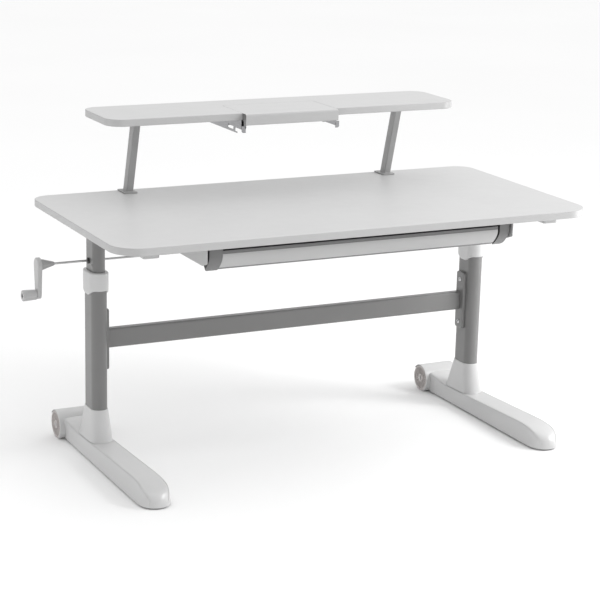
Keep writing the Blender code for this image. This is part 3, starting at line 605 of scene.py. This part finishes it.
def collar(name, side):
    """The guide on the outer tube: a wave-shaped lower edge with a tongue on each flat side."""
    node = f"leg_collar_{name}"
    top = span(node)[1].z
    seat = span(f"outer_leg_{name}")[1].z + LEAST
    edge_z = COLLAR_EDGE[name]
    drop = edge_z - COLLAR_TONGUE[name]
    tongue_half = 0.0100
    tongue_slope = 0.0245
    wave_part = 0.4  # of the drop; the rest falls in straight lines

    def wall(half, inset, z):
        return ring(stadium(half, side, inset, 14, 28), "Z", z)

    def edge(half, inset, rise):
        points = []
        for x, y, _ in wall(half, inset, 0.0):
            share = min(1.0, max(0.0, abs(y - LEG_Y) - tongue_half) / tongue_slope)
            wave = 0.5 + 0.5 * math.cos(math.pi * share)
            points.append((x, y, edge_z - drop * (wave_part * wave + (1 - wave_part) * (1 - share)) + rise))
        return points

    rings = []
    low_round = 0.0016
    for sine, cosine in quarter_turn(5):
        rings.append(edge(COLLAR_HALF, low_round * (1 - sine), low_round * (1 - cosine)))
    top_round = 0.0036
    for sine, cosine in quarter_turn(7):
        rings.append(wall(COLLAR_HALF, top_round * (1 - cosine), top - top_round * (1 - sine)))
    bore_gap = 0.0005
    mouth_gap = 0.0009
    rings += [
        wall(INNER_HALF, -mouth_gap, top),
        wall(INNER_HALF, -bore_gap, top - 0.0005),
        wall(INNER_HALF, -bore_gap, seat),
        wall(OUTER_HALF, -LEAST, seat),
        edge(OUTER_HALF, -LEAST, 0.0),
    ]
    piece(f"{node}_moulding", skin(rings, looped=True), "pale_plastic", "base", node)


def tail(y):
    """How far the foot has turned into its tail, which rises and widens to meet the wheel barrel."""
    share = min(1.0, max(0.0, (y - TAIL_START) / (TAIL_END - TAIL_START)))
    return share * share * (3 - 2 * share)


def crease_height(y):
    """The foot's side crease falls in a straight line from the nose, then rises to the wheel barrel."""
    return CREASE_START - CREASE_FALL * (y - NOSE_START) + TAIL_RISE * tail(y)


def leg_socket(name, side):
    """The tapered boot between foot and leg, with a rolled rim and a slight flare at the foot."""
    node = f"leg_socket_{name}"
    top = span(node)[1].z
    leg_x = side * LEG_X
    rim_half = [size + SOCKET_RIM for size in OUTER_HALF]

    def blend(share, inset):
        """The outline from the foot, at share 0, to the rim, at share 1."""
        low = rounded(SOCKET_HALF, SOCKET_RADIUS, (leg_x, LEG_Y + SOCKET_SHIFT), 14, inset)
        high = rounded(rim_half, SOCKET_RIM_RADIUS, (leg_x, LEG_Y), 14, inset)
        points = []
        for (low_x, low_y), (high_x, high_y) in zip(low, high):
            bottom = crease_height(low_y) + CROWN + 0.0004
            x = low_x + (high_x - low_x) * share
            y = low_y + (high_y - low_y) * share
            points.append((x, y, bottom + (top - bottom) * share))
        return points

    rings = []
    flare = 0.0010
    flare_end = 0.07
    rim_start = 0.975
    for share in (0.0, 0.008, 0.02, 0.04, flare_end, 0.12, 0.25, 0.4, 0.55, 0.7, 0.85, rim_start):
        rings.append(blend(share, flare * min(1.0, share / flare_end) ** 0.5 * (1 - share)))
    rim_round = 0.0012
    for sine, cosine in quarter_turn(5, 1):
        rings.append(blend(rim_start + (1 - rim_start) * sine, rim_round * (1 - cosine)))
    bore = stadium(OUTER_HALF, side, -0.0004, 14)
    bore_depth = 0.008
    wall = 0.0028
    rings += [ring(bore, "Z", top), ring(bore, "Z", top - bore_depth), blend(0.0, wall)]
    piece(f"{node}_moulding", skin(rings, looped=True), "pale_plastic", "base", node)


# Feet


def quarter(share, power):
    """The height of a rounded quarter of a superellipse, from 1 at share 0 to 0 at share 1."""
    return max(0.0, 1.0 - max(0.0, share) ** power) ** (1 / power)


def foot_levels(y):
    """Half the foot's width at its bottom, and the heights of its crease and of its middle, at Y = y."""
    width = FOOT_HALF * quarter((NOSE_ROUND - y) / (NOSE_ROUND - NOSE_TIP), 2.2)
    rise = crease_height(max(y, NOSE_START)) - FOOT_BOTTOM
    crease = FOOT_BOTTOM + rise * quarter((NOSE_START - y) / (NOSE_START - NOSE_FLOOR), 2.5)
    crown = CROWN + TAIL_CROWN * tail(y)
    middle = FOOT_BOTTOM + (rise + crown) * quarter((NOSE_START - y) / (NOSE_START - NOSE_TIP), 2.7)
    return width, crease, middle


def foot_section(side, y):
    """A foot's cross-section: sides that lean in to a rounded crease, a fine groove, and an arched top."""
    width, crease, middle = foot_levels(y)
    full_height = crease_height(y) - FOOT_BOTTOM
    crease_half = CREASE_HALF + (TAIL_HALF - CREASE_HALF) * tail(y)
    lean = (FOOT_HALF - crease_half) * (crease - FOOT_BOTTOM) / full_height
    top_half = width - lean
    fillet = min(CREASE_FILLET, 0.4 * top_half, 0.4 * (crease - FOOT_BOTTOM))
    slope = lean / max(1e-6, crease - FOOT_BOTTOM)
    half = [(width, FOOT_BOTTOM)]
    for share in (1.0, 0.55, 0.25, 0.05):
        drop = fillet * share
        pull = fillet * (1 - share) ** 2 * 0.35
        half.append((top_half + slope * drop - pull, crease - drop))
    for inward, down in ((0.75, 0.55), (1.15, 0.05)):
        half.append((top_half - inward * fillet, crease - down * fillet))
    for degrees in (12, 20, 30, 42, 55, 68, 80, 89):
        angle = math.radians(degrees)
        reach = (top_half - 1.25 * fillet) * math.cos(angle)
        half.append((reach, crease + (middle - crease) * math.sin(angle)))
    outline = half + [(-a, z) for a, z in reversed(half)]
    shift = TAIL_SHIFT * tail(y) / full_height
    return ring([(side * LEG_X + a + shift * (z - FOOT_BOTTOM), z) for a, z in outline], "Y", y)


def foot_body(side):
    """The foot from the middle of its barrel to its tip: tail, straight middle and round nose."""
    rings = []
    back = BARREL_Y - 0.004
    for start, end, steps in ((back, TAIL_START, 16), (TAIL_START, NOSE_START, 8)):
        rings += [foot_section(side, start + (end - start) * k / steps) for k in range(steps)]
    reach = NOSE_START - NOSE_TIP
    steps = 30
    sweep = math.radians(87.0)  # a little short of the tip, where a section would have no width
    rings += [foot_section(side, NOSE_START - reach * math.sin(sweep * k / steps)) for k in range(steps + 1)]
    return skin(rings)


def wheel_opening(side, end):
    """The wedge behind and under a wheel where the barrel's shell is left open."""
    centre = (BARREL_Y, WHEEL_RADIUS)
    outside = 0.060
    outline = [centre] + arc(centre, outside, -102, 38, 14)
    start = side * LEG_X + BARREL_SHIFT + end * (WHEEL_INNER - 0.0010)
    return skin([ring(outline, "X", x) for x in (start, start + end * 0.030)])


def foot_hollow(side):
    """The room under the cover, from the barrel to the nose, that leaves a moulding's thin walls."""
    x = side * LEG_X
    wall = 0.0025
    top_half = CREASE_HALF - wall
    low_half = FOOT_HALF - wall
    below = -0.010
    rings = []
    for y in (0.488, NOSE_START, 0.066):
        roof = foot_levels(y)[1] - TAIL_RISE * tail(y) - wall
        section = [(x + top_half, roof), (x - top_half, roof), (x - low_half, below), (x + low_half, below)]
        rings.append(ring(section, "Y", y))
    return skin(rings)


def foot_cover(name, side):
    """The foot's moulding: a long body, hollow underneath, with the wheel barrel across its back end."""
    node = f"foot_cover_{name}"
    x = side * LEG_X
    middle = x + BARREL_SHIFT
    centre = (BARREL_Y, WHEEL_RADIUS)
    levels = eased(-BARREL_HALF, BARREL_HALF, 0.0012)
    barrel = turned([(BARREL_RADIUS - inset, middle + station) for station, inset in levels], centre, 96)
    leg_slot = rounded((0.0201, 0.0381), 0.0197, (x, LEG_Y), 10)
    tools = [foot_hollow(side), skin([ring(leg_slot, "Z", z) for z in (0.020, 0.060)])]
    clear = 0.060  # from the middle, past the barrel's ends
    # The barrel is trimmed level underneath, and open there between the wheels.
    tools.append(box((x - clear, x + clear), (0.4890, 0.600), (-0.030, FOOT_BOTTOM - 0.0005)))
    tools.append(box((x - 0.030, x + 0.030), (0.505, 0.560), (-0.020, 0.027)))
    bay_radius = WHEEL_RADIUS + 0.0006
    for end in (-1, 1):
        bay = [(bay_radius, middle + end * (WHEEL_INNER - 0.0007)), (bay_radius, middle + end * clear)]
        tools.append(turned(bay, centre, 96))
        tools.append(wheel_opening(side, end))
    axle_radius = AXLE_RADIUS + LEAST
    tools.append(turned([(axle_radius, middle - clear), (axle_radius, middle + clear)], centre, 24))
    mesh = cut(join(foot_body(side), barrel), *tools)
    piece(f"{node}_moulding", mesh, "pale_plastic", "base", node, sharp=24)


def glide(name, side):
    """The pad under the nose, as round in plan as the nose above it."""
    node = f"front_glide_{name}"
    margin = 0.0035

    def outline(inset):
        half = []
        for degrees in (89, 84, 78, 71, 63, 55, 46, 37, 28, 19, 10, 0):
            y = NOSE_ROUND - (NOSE_ROUND - NOSE_TIP) * math.sin(math.radians(degrees))
            half.append((foot_levels(y)[0] * (1 - inset / FOOT_HALF), y + inset))
        half.append((FOOT_HALF - inset, NOSE_START - 0.020))
        right = [(side * LEG_X + a, b) for a, b in half]
        left = [(side * LEG_X - a, b) for a, b in reversed(half)]
        return right + left

    levels = eased(0.0, FOOT_BOTTOM - LEAST, 0.0012, ends=(True, False))
    mesh = skin([ring(outline(margin + inset), "Z", z) for z, inset in levels])
    piece(f"{node}_pad", mesh, "glide_plastic", "base", node)


def wheel(name, where, side, end):
    """A wheel with a ribbed tread, and an outer face with a rim, radial ribs and a hub."""
    node = f"wheel_{name}_{where}"
    middle = side * LEG_X + BARREL_SHIFT
    inner = middle + end * WHEEL_INNER
    outer = middle + end * WHEEL_OUTER
    step = outer - end * 0.0030
    deep = outer - end * 0.0036
    bore = AXLE_RADIUS + 0.0004
    rib_height = 0.0034
    groove_depth = 0.0016
    face_ribs = 24
    tread_ribs = 30
    steps = 180
    # Radius and station, then how much of a face rib's height and of a tread groove's depth that ring takes.
    profile = [
        (bore, inner, 0.0, 0.0),
        (WHEEL_RADIUS - 0.0020, inner, 0.0, 0.0),
        (WHEEL_RADIUS - 0.0006, inner + end * 0.0005, 0.0, 0.4),
        (WHEEL_RADIUS, inner + end * 0.0018, 0.0, 1.0),
        (WHEEL_RADIUS, outer - end * 0.0022, 0.0, 1.0),
        (WHEEL_RADIUS - 0.0007, outer - end * 0.0006, 0.0, 0.5),
        (WHEEL_RADIUS - 0.0022, outer, 0.0, 0.5),
        (0.0292, outer, 0.0, 0.0),
        (0.0286, outer - end * 0.0005, 0.0, 0.0),
        (0.0280, step, 0.0, 0.0),
        (0.0270, deep, 0.6, 0.0),
        (0.0240, deep, 1.0, 0.0),
        (0.0200, deep, 1.0, 0.0),
        (0.0150, deep, 1.0, 0.0),
        (0.0122, deep, 0.6, 0.0),
        (0.0112, step, 0.0, 0.0),
        (0.0106, outer - end * 0.0004, 0.0, 0.0),
        (0.0100, outer, 0.0, 0.0),
        (0.0056, outer, 0.0, 0.0),
        (bore, outer - end * 0.0012, 0.0, 0.0),
    ]
    rings = []
    for radius, station, face, tread in profile:
        points = []
        for k in range(steps):
            turn = math.tau * k / steps
            crest = max(0.0, math.cos(face_ribs * turn)) ** 2
            groove = max(0.0, -math.cos(tread_ribs * turn)) ** 1.5
            reach = radius - groove_depth * tread * groove
            x = station + end * rib_height * face * crest
            points.append((x, BARREL_Y + reach * math.cos(turn), WHEEL_RADIUS + reach * math.sin(turn)))
        rings.append(points)
    piece(f"{node}_ribbed", skin(rings, looped=True), "wheel_plastic", node, node)


# Stretcher


def stretcher():
    """The bar between the legs, a tube with a wall."""
    low, high = span("stretcher_bar")
    middle, half = middle_and_half(low, high, "yz")
    radius = 0.005
    wall = 0.0018
    rings = []
    for inset, x in ((0.0, low.x), (0.0, high.x), (wall, high.x), (wall, low.x)):
        rings.append(ring(rounded(half, radius, middle, 12, inset), "X", x))
    piece("stretcher_bar_tube", skin(rings, looped=True), "grey_paint", "base", "stretcher_bar")


def stretcher_plate(name, side):
    """The pressed plate that joins the bar to a leg: rolled edges, hollow towards the leg."""
    node = f"stretcher_plate_{name}"
    low, high = span(node)
    face, back = (high.x, low.x) if side < 0 else (low.x, high.x)
    middle, half = middle_and_half(low, high, "yz")
    wall = 0.0025

    def outline(inset, x):
        return ring(rounded(half, PLATE_RADIUS, middle, 12, inset), "X", x)

    rings = [outline(wall, face + side * wall), outline(wall, back)]
    rings += [outline(inset, x) for x, inset in eased(back, face, 0.0022, 6, (False, True))]
    piece(f"{node}_pressing", skin(rings), "grey_paint", "base", node)


def hexagon(radius, steps, centre):
    """A hexagon's outline with as many points as a circle that it joins."""
    points = []
    for k in range(steps):
        turn = math.tau * k / steps
        within = (turn + math.pi / 6) % (math.pi / 3) - math.pi / 6
        reach = radius * math.cos(math.pi / 6) / math.cos(within)
        points.append((centre[0] + reach * math.cos(turn), centre[1] + reach * math.sin(turn)))
    return points


def plate_bolt(name, level, side):
    """A button-head bolt with a hexagon socket."""
    node = f"plate_bolt_{name}_{level}"
    low, high = span(node)
    centre = (BOLT_Y, (low.z + high.z) / 2)
    tip, crown = (low.x, high.x) if side < 0 else (high.x, low.x)
    head_height = 0.0034
    head_radius = 0.0058
    shank_radius = 0.0028
    socket_radius = 0.0023
    under = crown + side * head_height
    steps = 48
    socket = hexagon(socket_radius, steps, centre)
    rings = [ring(socket, "X", crown + side * depth) for depth in (0.0026, 0.0003)]
    first = 25  # degrees from the bolt's axis where the domed head starts, round its socket
    for k in range(7):
        angle = math.radians(first + (90 - first) * (k / 6))
        height = head_height * math.cos(angle) / math.cos(math.radians(first))
        rings.append(ring(circle(head_radius * math.sin(angle), steps, centre), "X", under - side * height))
    rings += [ring(circle(shank_radius, steps, centre), "X", x) for x in (under, tip)]
    piece(f"{node}_head", skin(rings), "zinc_steel", "base", node)


# Shelf posts and support arms


def shelf_post(name):
    """A leaning post of flat tube, welded between two small plates."""
    node = f"shelf_post_{name}"
    low, high = span(node)
    x = (low.x + high.x) / 2
    half_section = [size / 2 for size in POST_SECTION]
    half_plate = ((high.x - low.x) / 2, 0.026)
    plate_shift = 0.003
    base_y = high.y - half_plate[1] - plate_shift
    bead = 0.0020  # the weld bead's height and its width, and how far it sinks into the plate
    sunk = 0.0001

    def centre(z):
        return (x, base_y - POST_LEAN * (z - low.z + LEAST))

    def section(z, grow):
        return ring(rounded(half_section, 0.0028, centre(z), inset=-grow), "Z", z)

    def plate(bottom, middle_y):
        rings = []
        for z, inset in eased(bottom, bottom + POST_PLATE, 0.0007, 3):
            rings.append(ring(rounded(half_plate, 0.0035, (x, middle_y), inset=inset), "Z", z))
        return skin(rings)

    foot = low.z + 0.0012
    head = high.z - 0.0012
    fillet = [(bead * sine - sunk, bead * (1 - sine) ** 1.5) for sine, _ in quarter_turn(4)]
    levels = [(foot, bead)]
    levels += [(low.z + POST_PLATE + rise, grow) for rise, grow in fillet]
    levels += [(low.z + (high.z - low.z) * share, 0.0) for share in (0.2, 0.4, 0.6, 0.8)]
    levels += [(high.z - POST_PLATE - rise, grow) for rise, grow in reversed(fillet)]
    levels.append((head, bead))
    post = skin([section(z, grow) for z, grow in levels])
    mesh = join(post, plate(low.z, base_y + plate_shift), plate(high.z - POST_PLATE, centre(high.z)[1]))
    piece(f"{node}_welded", mesh, "grey_paint", "top_frame", node, finishes=["post_paint"], sharp=40)


def support_arm(name):
    """The channel under the worktop, open on top, with rolled bottom edges."""
    node = f"support_arm_{name}"
    low, high = span(node)
    middle, half = middle_and_half(low, high, "xy")
    wall = 0.0018

    def outline(inset, z):
        return ring(rounded(half, 0.006, middle, 10, inset), "Z", z)

    rings = [outline(wall, low.z + wall), outline(wall, high.z)]
    rings += [outline(inset, z) for z, inset in eased(high.z, low.z, 0.0016, 5, (False, True))]
    piece(f"{node}_channel", skin(rings), "pale_paint", "top_frame", node)


# Crank


def crank_arm():
    """The arm, a flat link with a boss for the grip, and the cone-shaped sleeve along the rod."""
    low, high = span("crank_arm")
    inner = CRANK_INNER_X
    axis = (CRANK_Y, CRANK_Z)
    grip_axis = (CRANK_Y, GRIP_Z)
    hub_radius = 0.0172
    boss_radius = 0.0105
    rod_radius = 0.0028
    pin_radius = 0.0033

    def outline(inset):
        return arc(axis, hub_radius - inset, -4, 184, 28) + arc(grip_axis, boss_radius - inset, 184, 356, 24)

    arm = skin([ring(outline(inset), "X", x) for x, inset in eased(low.x, inner, 0.0024, 6)])
    # The sleeve's radius at distances from the arm's inner face, then from its own thin end.
    wide_end = ((0.0120, -0.0030), (0.0124, 0.0040), (0.0118, 0.0075), (0.0104, 0.0115))
    thin_end = ((0.0060, 0.0060), (0.0046, 0.0018), (0.0040, 0.0004), (0.0034, 0.0))
    cone = [(radius, inner + along) for radius, along in wide_end]
    cone += [(radius, high.x - along) for radius, along in thin_end]
    rod_hole = turned([(rod_radius, inner + 0.0105), (rod_radius, high.x + 0.007)], axis, 32)
    pin_hole = turned([(pin_radius, low.x - 0.009), (pin_radius, inner - 0.004)], grip_axis, 32)
    mesh = cut(join(arm, turned(cone, axis)), rod_hole, pin_hole)
    finishes = ["crank_plastic", "sleeve_plastic"]
    piece("crank_arm_moulding", mesh, "pale_plastic", "crank", "crank_arm", finishes=finishes)
    paint_faces(mesh, lambda face: face.center.x > inner + LEAST)


def crank_grip():
    """The grip, slightly barrelled, with a round end and a recess for the pin's head."""
    low, high = span("crank_grip")
    end, root = low.x, high.x
    radius = 0.0130
    profile = [(0.0034, root), (0.0106, root), (0.0112, root - 0.0003), (0.0117, root - 0.0012)]
    profile += [(0.0120, root - 0.006), (0.0126, root - 0.016), (radius, end + 0.0060)]
    for sine, cosine in quarter_turn(5, 1):
        profile.append((radius - 0.0022 * (1 - cosine), end + 0.0026 - 0.0026 * sine))
    profile += [(0.0064, end), (0.0060, end + 0.0004), (0.0060, GRIP_FLOOR_X), (0.0034, GRIP_FLOOR_X)]
    grip = turned(profile, (CRANK_Y, GRIP_Z), 64, bored=True)
    piece("crank_grip_moulding", grip, "pale_plastic", "grip", "crank_grip", finishes=["crank_plastic"])


def crank_rods():
    """The rod across the desk and the pin that the grip turns on."""
    low, high = span("cross_rod")
    radius = (high.z - low.z) / 2
    levels = eased(low.x, high.x, 0.0005, 3)
    rod = turned([(radius - inset, x) for x, inset in levels], (CRANK_Y, CRANK_Z), 32)
    piece("cross_rod_drawn", rod, "steel", "crank", "cross_rod")

    low, high = span("grip_pin")
    seat = GRIP_FLOOR_X - 0.0004
    profile = [(0.0030, high.x), (0.0030, seat), (0.0052, seat)]
    profile += [(0.0052, seat - 0.0013), (0.0047, seat - 0.0021), (0.0036, low.x)]
    piece("grip_pin_turned", turned(profile, (CRANK_Y, GRIP_Z), 40), "steel", "crank", "grip_pin")


def rod_bush(name):
    """The flanged black bush in a leg's wall that the rod runs in."""
    node = f"rod_bush_{name}"
    low, high = span(node)
    out = low.x
    bore, barrel, flange = 0.0029, 0.0046, 0.0070
    seat = out + 0.0031
    ease = 0.0010
    profile = [(bore, high.x), (barrel, high.x), (barrel, seat), (flange, seat), (flange, out + ease)]
    for sine, cosine in quarter_turn(4, 1):
        profile.append((flange - ease * (1 - cosine), out + ease * (1 - sine)))
    profile += [(bore + 0.0005, out), (bore, out + 0.0005)]
    mesh = turned(profile, (CRANK_Y, CRANK_Z), 48, bored=True)
    piece(f"{node}_moulding", mesh, "black_plastic", "top_frame", node)


# Drawer


def drawer_curve(depth, low_share=1.0, steps=26):
    """The front's face seen from its end, from the bottom up: a curve that runs into an upright."""
    start = Vector((DRAWER_FACE_Y, 0.548))
    pull = Vector((0.030, 0.530))
    end = Vector((0.0590, 0.5095))
    points = []
    for k in range(steps, -1, -1):
        t = low_share * k / steps
        point = (1 - t) ** 2 * start + 2 * t * (1 - t) * pull + t**2 * end
        along = 2 * (1 - t) * (pull - start) + 2 * t * (end - pull)
        back = Vector((-along.y, along.x)).normalized()
        points.append(tuple(point + depth * back))
    return points


def drawer_channel():
    """The dark channel along the front, stepped back where the light insert lies; its top face is painted
    black as the shade in the gap under the worktop.
    """
    low, high = span("drawer_front")
    wall = 0.0045
    step = 0.0020
    top_wall = 0.003
    top_round = 0.0018
    back = DRAWER_BACK_Y - 0.001
    insert_end = INSERT_SHARE + 0.01
    insert_top = 0.5535
    outline = drawer_curve(0.0, FRAME_SHARE)[:1] + drawer_curve(0.0, insert_end)[:1]
    outline += drawer_curve(step, insert_end)
    outline += [(DRAWER_FACE_Y + step, insert_top), (DRAWER_FACE_Y, insert_top)]
    outline += arc((DRAWER_FACE_Y + top_round, DRAWER_TOP - top_round), top_round, 180, 90, 6)
    outline += [(back, DRAWER_TOP), (back, DRAWER_TOP - top_wall)]
    outline.append((DRAWER_FACE_Y + wall, DRAWER_TOP - top_wall))
    outline += drawer_curve(wall, FRAME_SHARE)[::-1]
    mesh = skin([ring(outline, "X", low.x), ring(outline, "X", high.x)])
    finishes = ["dark_plastic", "black_plastic"]
    piece("drawer_front_channel", mesh, "dark_plastic", "drawer", "drawer_front", finishes=finishes)
    # The top face takes the black finish: painted shade for the dark gap under the worktop.
    paint_faces(mesh, lambda face: face.center.z > DRAWER_TOP - 0.0008 and face.normal.z > 0.5)


def drawer_insert():
    """The light strip let into the channel's face."""
    low, high = span("drawer_insert")
    depth = 0.0016
    top = 0.5532
    ease = 0.0004
    outline = drawer_curve(0.0, INSERT_SHARE)
    outline += [(DRAWER_FACE_Y, top - ease), (DRAWER_FACE_Y + ease, top), (DRAWER_FACE_Y + depth, top)]
    outline += drawer_curve(depth, INSERT_SHARE)[::-1]
    mesh = skin([ring(outline, "X", low.x), ring(outline, "X", high.x)])
    finishes = ["insert_plastic"]
    piece("drawer_insert_strip", mesh, "pale_plastic", "drawer", "drawer_insert", finishes=finishes)


def drawer_cap(name, side):
    """The front's end piece, a little proud of the strip, with a rolled outer edge and its end faces painted
    black as shade.
    """
    node = f"drawer_cap_{name}"
    low, high = span(node)
    inner, outer = (high.x, low.x) if side < 0 else (low.x, high.x)
    corner = 0.008
    roll = 0.0012
    stand_out = 0.0006
    top_round = 0.0020

    def outline(proud, lift):
        curve = drawer_curve(-proud, 0.95 - lift)
        foot_y, foot_z = curve[0]
        back_z = max(0.5245, foot_z + 0.006)
        back_y = min(DRAWER_BACK_Y - 0.0006, foot_y + 0.0015)
        points = [(DRAWER_BACK_Y, back_z), (back_y, min(foot_z + 0.0020, back_z - 0.0005))] + curve
        points += arc((DRAWER_FACE_Y - proud + top_round, CAP_TOP - top_round), top_round, 180, 90, 6)
        points.append((DRAWER_BACK_Y, CAP_TOP))
        return points

    rings = []
    for sine, cosine in quarter_turn(4):
        x = inner + side * roll * 0.5 * (1 - cosine)
        rings.append(ring(outline(stand_out * sine, 0.0), "X", x))
    for sine, cosine in quarter_turn(8):
        distance = corner * (1 - sine)
        rolled = 1 - min(1.0, distance / roll)
        proud = stand_out - roll * (1 - math.sqrt(1 - rolled**2))
        rings.append(ring(outline(proud, 0.16 * (1 - cosine)), "X", outer - side * distance))
    mesh = skin(rings)
    finishes = ["dark_plastic", "black_plastic"]
    piece(f"{node}_moulding", mesh, "dark_plastic", "drawer", node, finishes=finishes)
    # End faces take the black finish: painted shade for the dark gaps beside each cap.
    paint_faces(mesh, lambda face: abs(face.normal.x) > 0.8)


# Stage


def floor():
    """A wide, almost white floor under the feet."""
    half = 30.0
    corners = [(-half, -half), (half, -half), (half, half), (-half, half)]
    mesh = skin([ring(corners, "Z", z) for z in (-0.05, 0.0)])
    item = bpy.data.objects.new("studio_floor", mesh)
    bpy.context.scene.collection.objects.link(item)
    graph = Graph("studio_floor")
    tint = graph.tinted(graph.noise(0.7, 2.0), grey(0.965), grey(0.98))
    graph.link(tint, graph.shader.inputs["Base Color"])
    graph.shader.inputs["Roughness"].default_value = 0.9
    mesh.materials.append(graph.material)


def area_light(name, place, target, size, power):
    """A rectangular light turned to face its target."""
    light = bpy.data.lights.new(name, "AREA")
    light.shape = "RECTANGLE"
    light.size, light.size_y = size
    light.energy = power
    item = bpy.data.objects.new(name, light)
    bpy.context.scene.collection.objects.link(item)
    item.location = place
    item.rotation_mode = "QUATERNION"
    item.rotation_quaternion = (Vector(place) - Vector(target)).to_track_quat("Z", "Y")


def studio_light(horizon, zenith, right):
    """A white room that is brighter overhead, and brighter on the right than on the left by a share."""
    world = bpy.data.worlds.new("studio")
    world.use_nodes = True
    tree = world.node_tree
    place = tree.nodes.new("ShaderNodeTexCoord")
    parts = tree.nodes.new("ShaderNodeSeparateXYZ")
    height = tree.nodes.new("ShaderNodeMapRange")
    height.inputs["To Min"].default_value = horizon
    height.inputs["To Max"].default_value = zenith
    across = tree.nodes.new("ShaderNodeMapRange")
    across.inputs["From Min"].default_value = -1.0
    across.inputs["To Min"].default_value = 1.0 - right
    across.inputs["To Max"].default_value = 1.0 + right
    product = tree.nodes.new("ShaderNodeMath")
    product.operation = "MULTIPLY"
    tree.links.new(place.outputs["Generated"], parts.inputs["Vector"])
    tree.links.new(parts.outputs["Z"], height.inputs["Value"])
    tree.links.new(parts.outputs["X"], across.inputs["Value"])
    tree.links.new(height.outputs["Result"], product.inputs[0])
    tree.links.new(across.outputs["Result"], product.inputs[1])
    tree.links.new(product.outputs["Value"], tree.nodes["Background"].inputs["Strength"])
    tree.nodes["Background"].inputs["Color"].default_value = (1.0, 1.0, 1.0, 1.0)
    bpy.context.scene.world = world


def lights():
    """The white room, a key light high on the right, and a low fill on each side."""
    studio_light(0.50, 1.24, 0.37)
    area_light("key_right", (2.6, -1.6, 2.4), (0.2, 0.0, 0.4), (1.1, 1.1), 35.0)
    area_light("low_right", (1.25, -0.40, 0.50), (0.5, 0.35, 0.35), (0.4, 0.6), 3.6)
    area_light("low_left", (-1.7, 0.2, 0.60), (-0.5, 0.3, 0.40), (0.4, 0.6), 1.8)


def camera():
    data = bpy.data.cameras.new("camera")
    data.lens = CAMERA_LENS
    data.sensor_width = CAMERA_SENSOR
    data.clip_end = 100.0
    item = bpy.data.objects.new("camera", data)
    bpy.context.scene.collection.objects.link(item)
    yaw, pitch, roll = (math.radians(angle) for angle in (CAMERA_YAW, CAMERA_PITCH, CAMERA_ROLL))
    forward = Vector((math.sin(yaw) * math.cos(pitch), math.cos(yaw) * math.cos(pitch), -math.sin(pitch)))
    level = Vector((math.cos(yaw), -math.sin(yaw), 0.0))
    upright = level.cross(forward)
    right = level * math.cos(roll) + upright * math.sin(roll)
    up = upright * math.cos(roll) - level * math.sin(roll)
    turn = Matrix((right, up, -forward)).transposed().to_4x4()
    item.matrix_world = Matrix.Translation(CAMERA_PLACE + HOME) @ turn
    bpy.context.scene.camera = item


def remaining_nodes():
    """CAD nodes whose shape is right as it is keep it, and get their finish."""
    for node, item in frame["nodes"].items():
        if not item.hide_render:
            item.data.materials.clear()
            item.data.materials.append(FINISHES[SLOT_OF[node]])


def main():
    bpy.context.scene.view_settings.view_transform = "Standard"
    camera()
    lights()
    floor()
    worktop()
    shelf()
    panel()
    legs()
    stretcher()
    crank_arm()
    crank_grip()
    crank_rods()
    drawer_channel()
    drawer_insert()
    softened_copy("drawer_case", 0.0005)
    softened_copy("drawer_tray", 0.0005)
    for name, side in SIDES:
        collar(name, side)
        leg_socket(name, side)
        foot_cover(name, side)
        glide(name, side)
        stretcher_plate(name, side)
        shelf_post(name)
        support_arm(name)
        rod_bush(name)
        drawer_cap(name, side)
        for level in ("lower", "upper"):
            plate_bolt(name, level, side)
        for where, end in (("inner", -side), ("outer", side)):
            wheel(name, where, side, end)
        # The rails and runners take the darker steel, painted shade under the shelf.
        for node in (f"panel_rail_{name}", f"panel_runner_{name}"):
            softened_copy(node, 0.0004, finishes=["shaded_rail_steel"])
    remaining_nodes()


main()
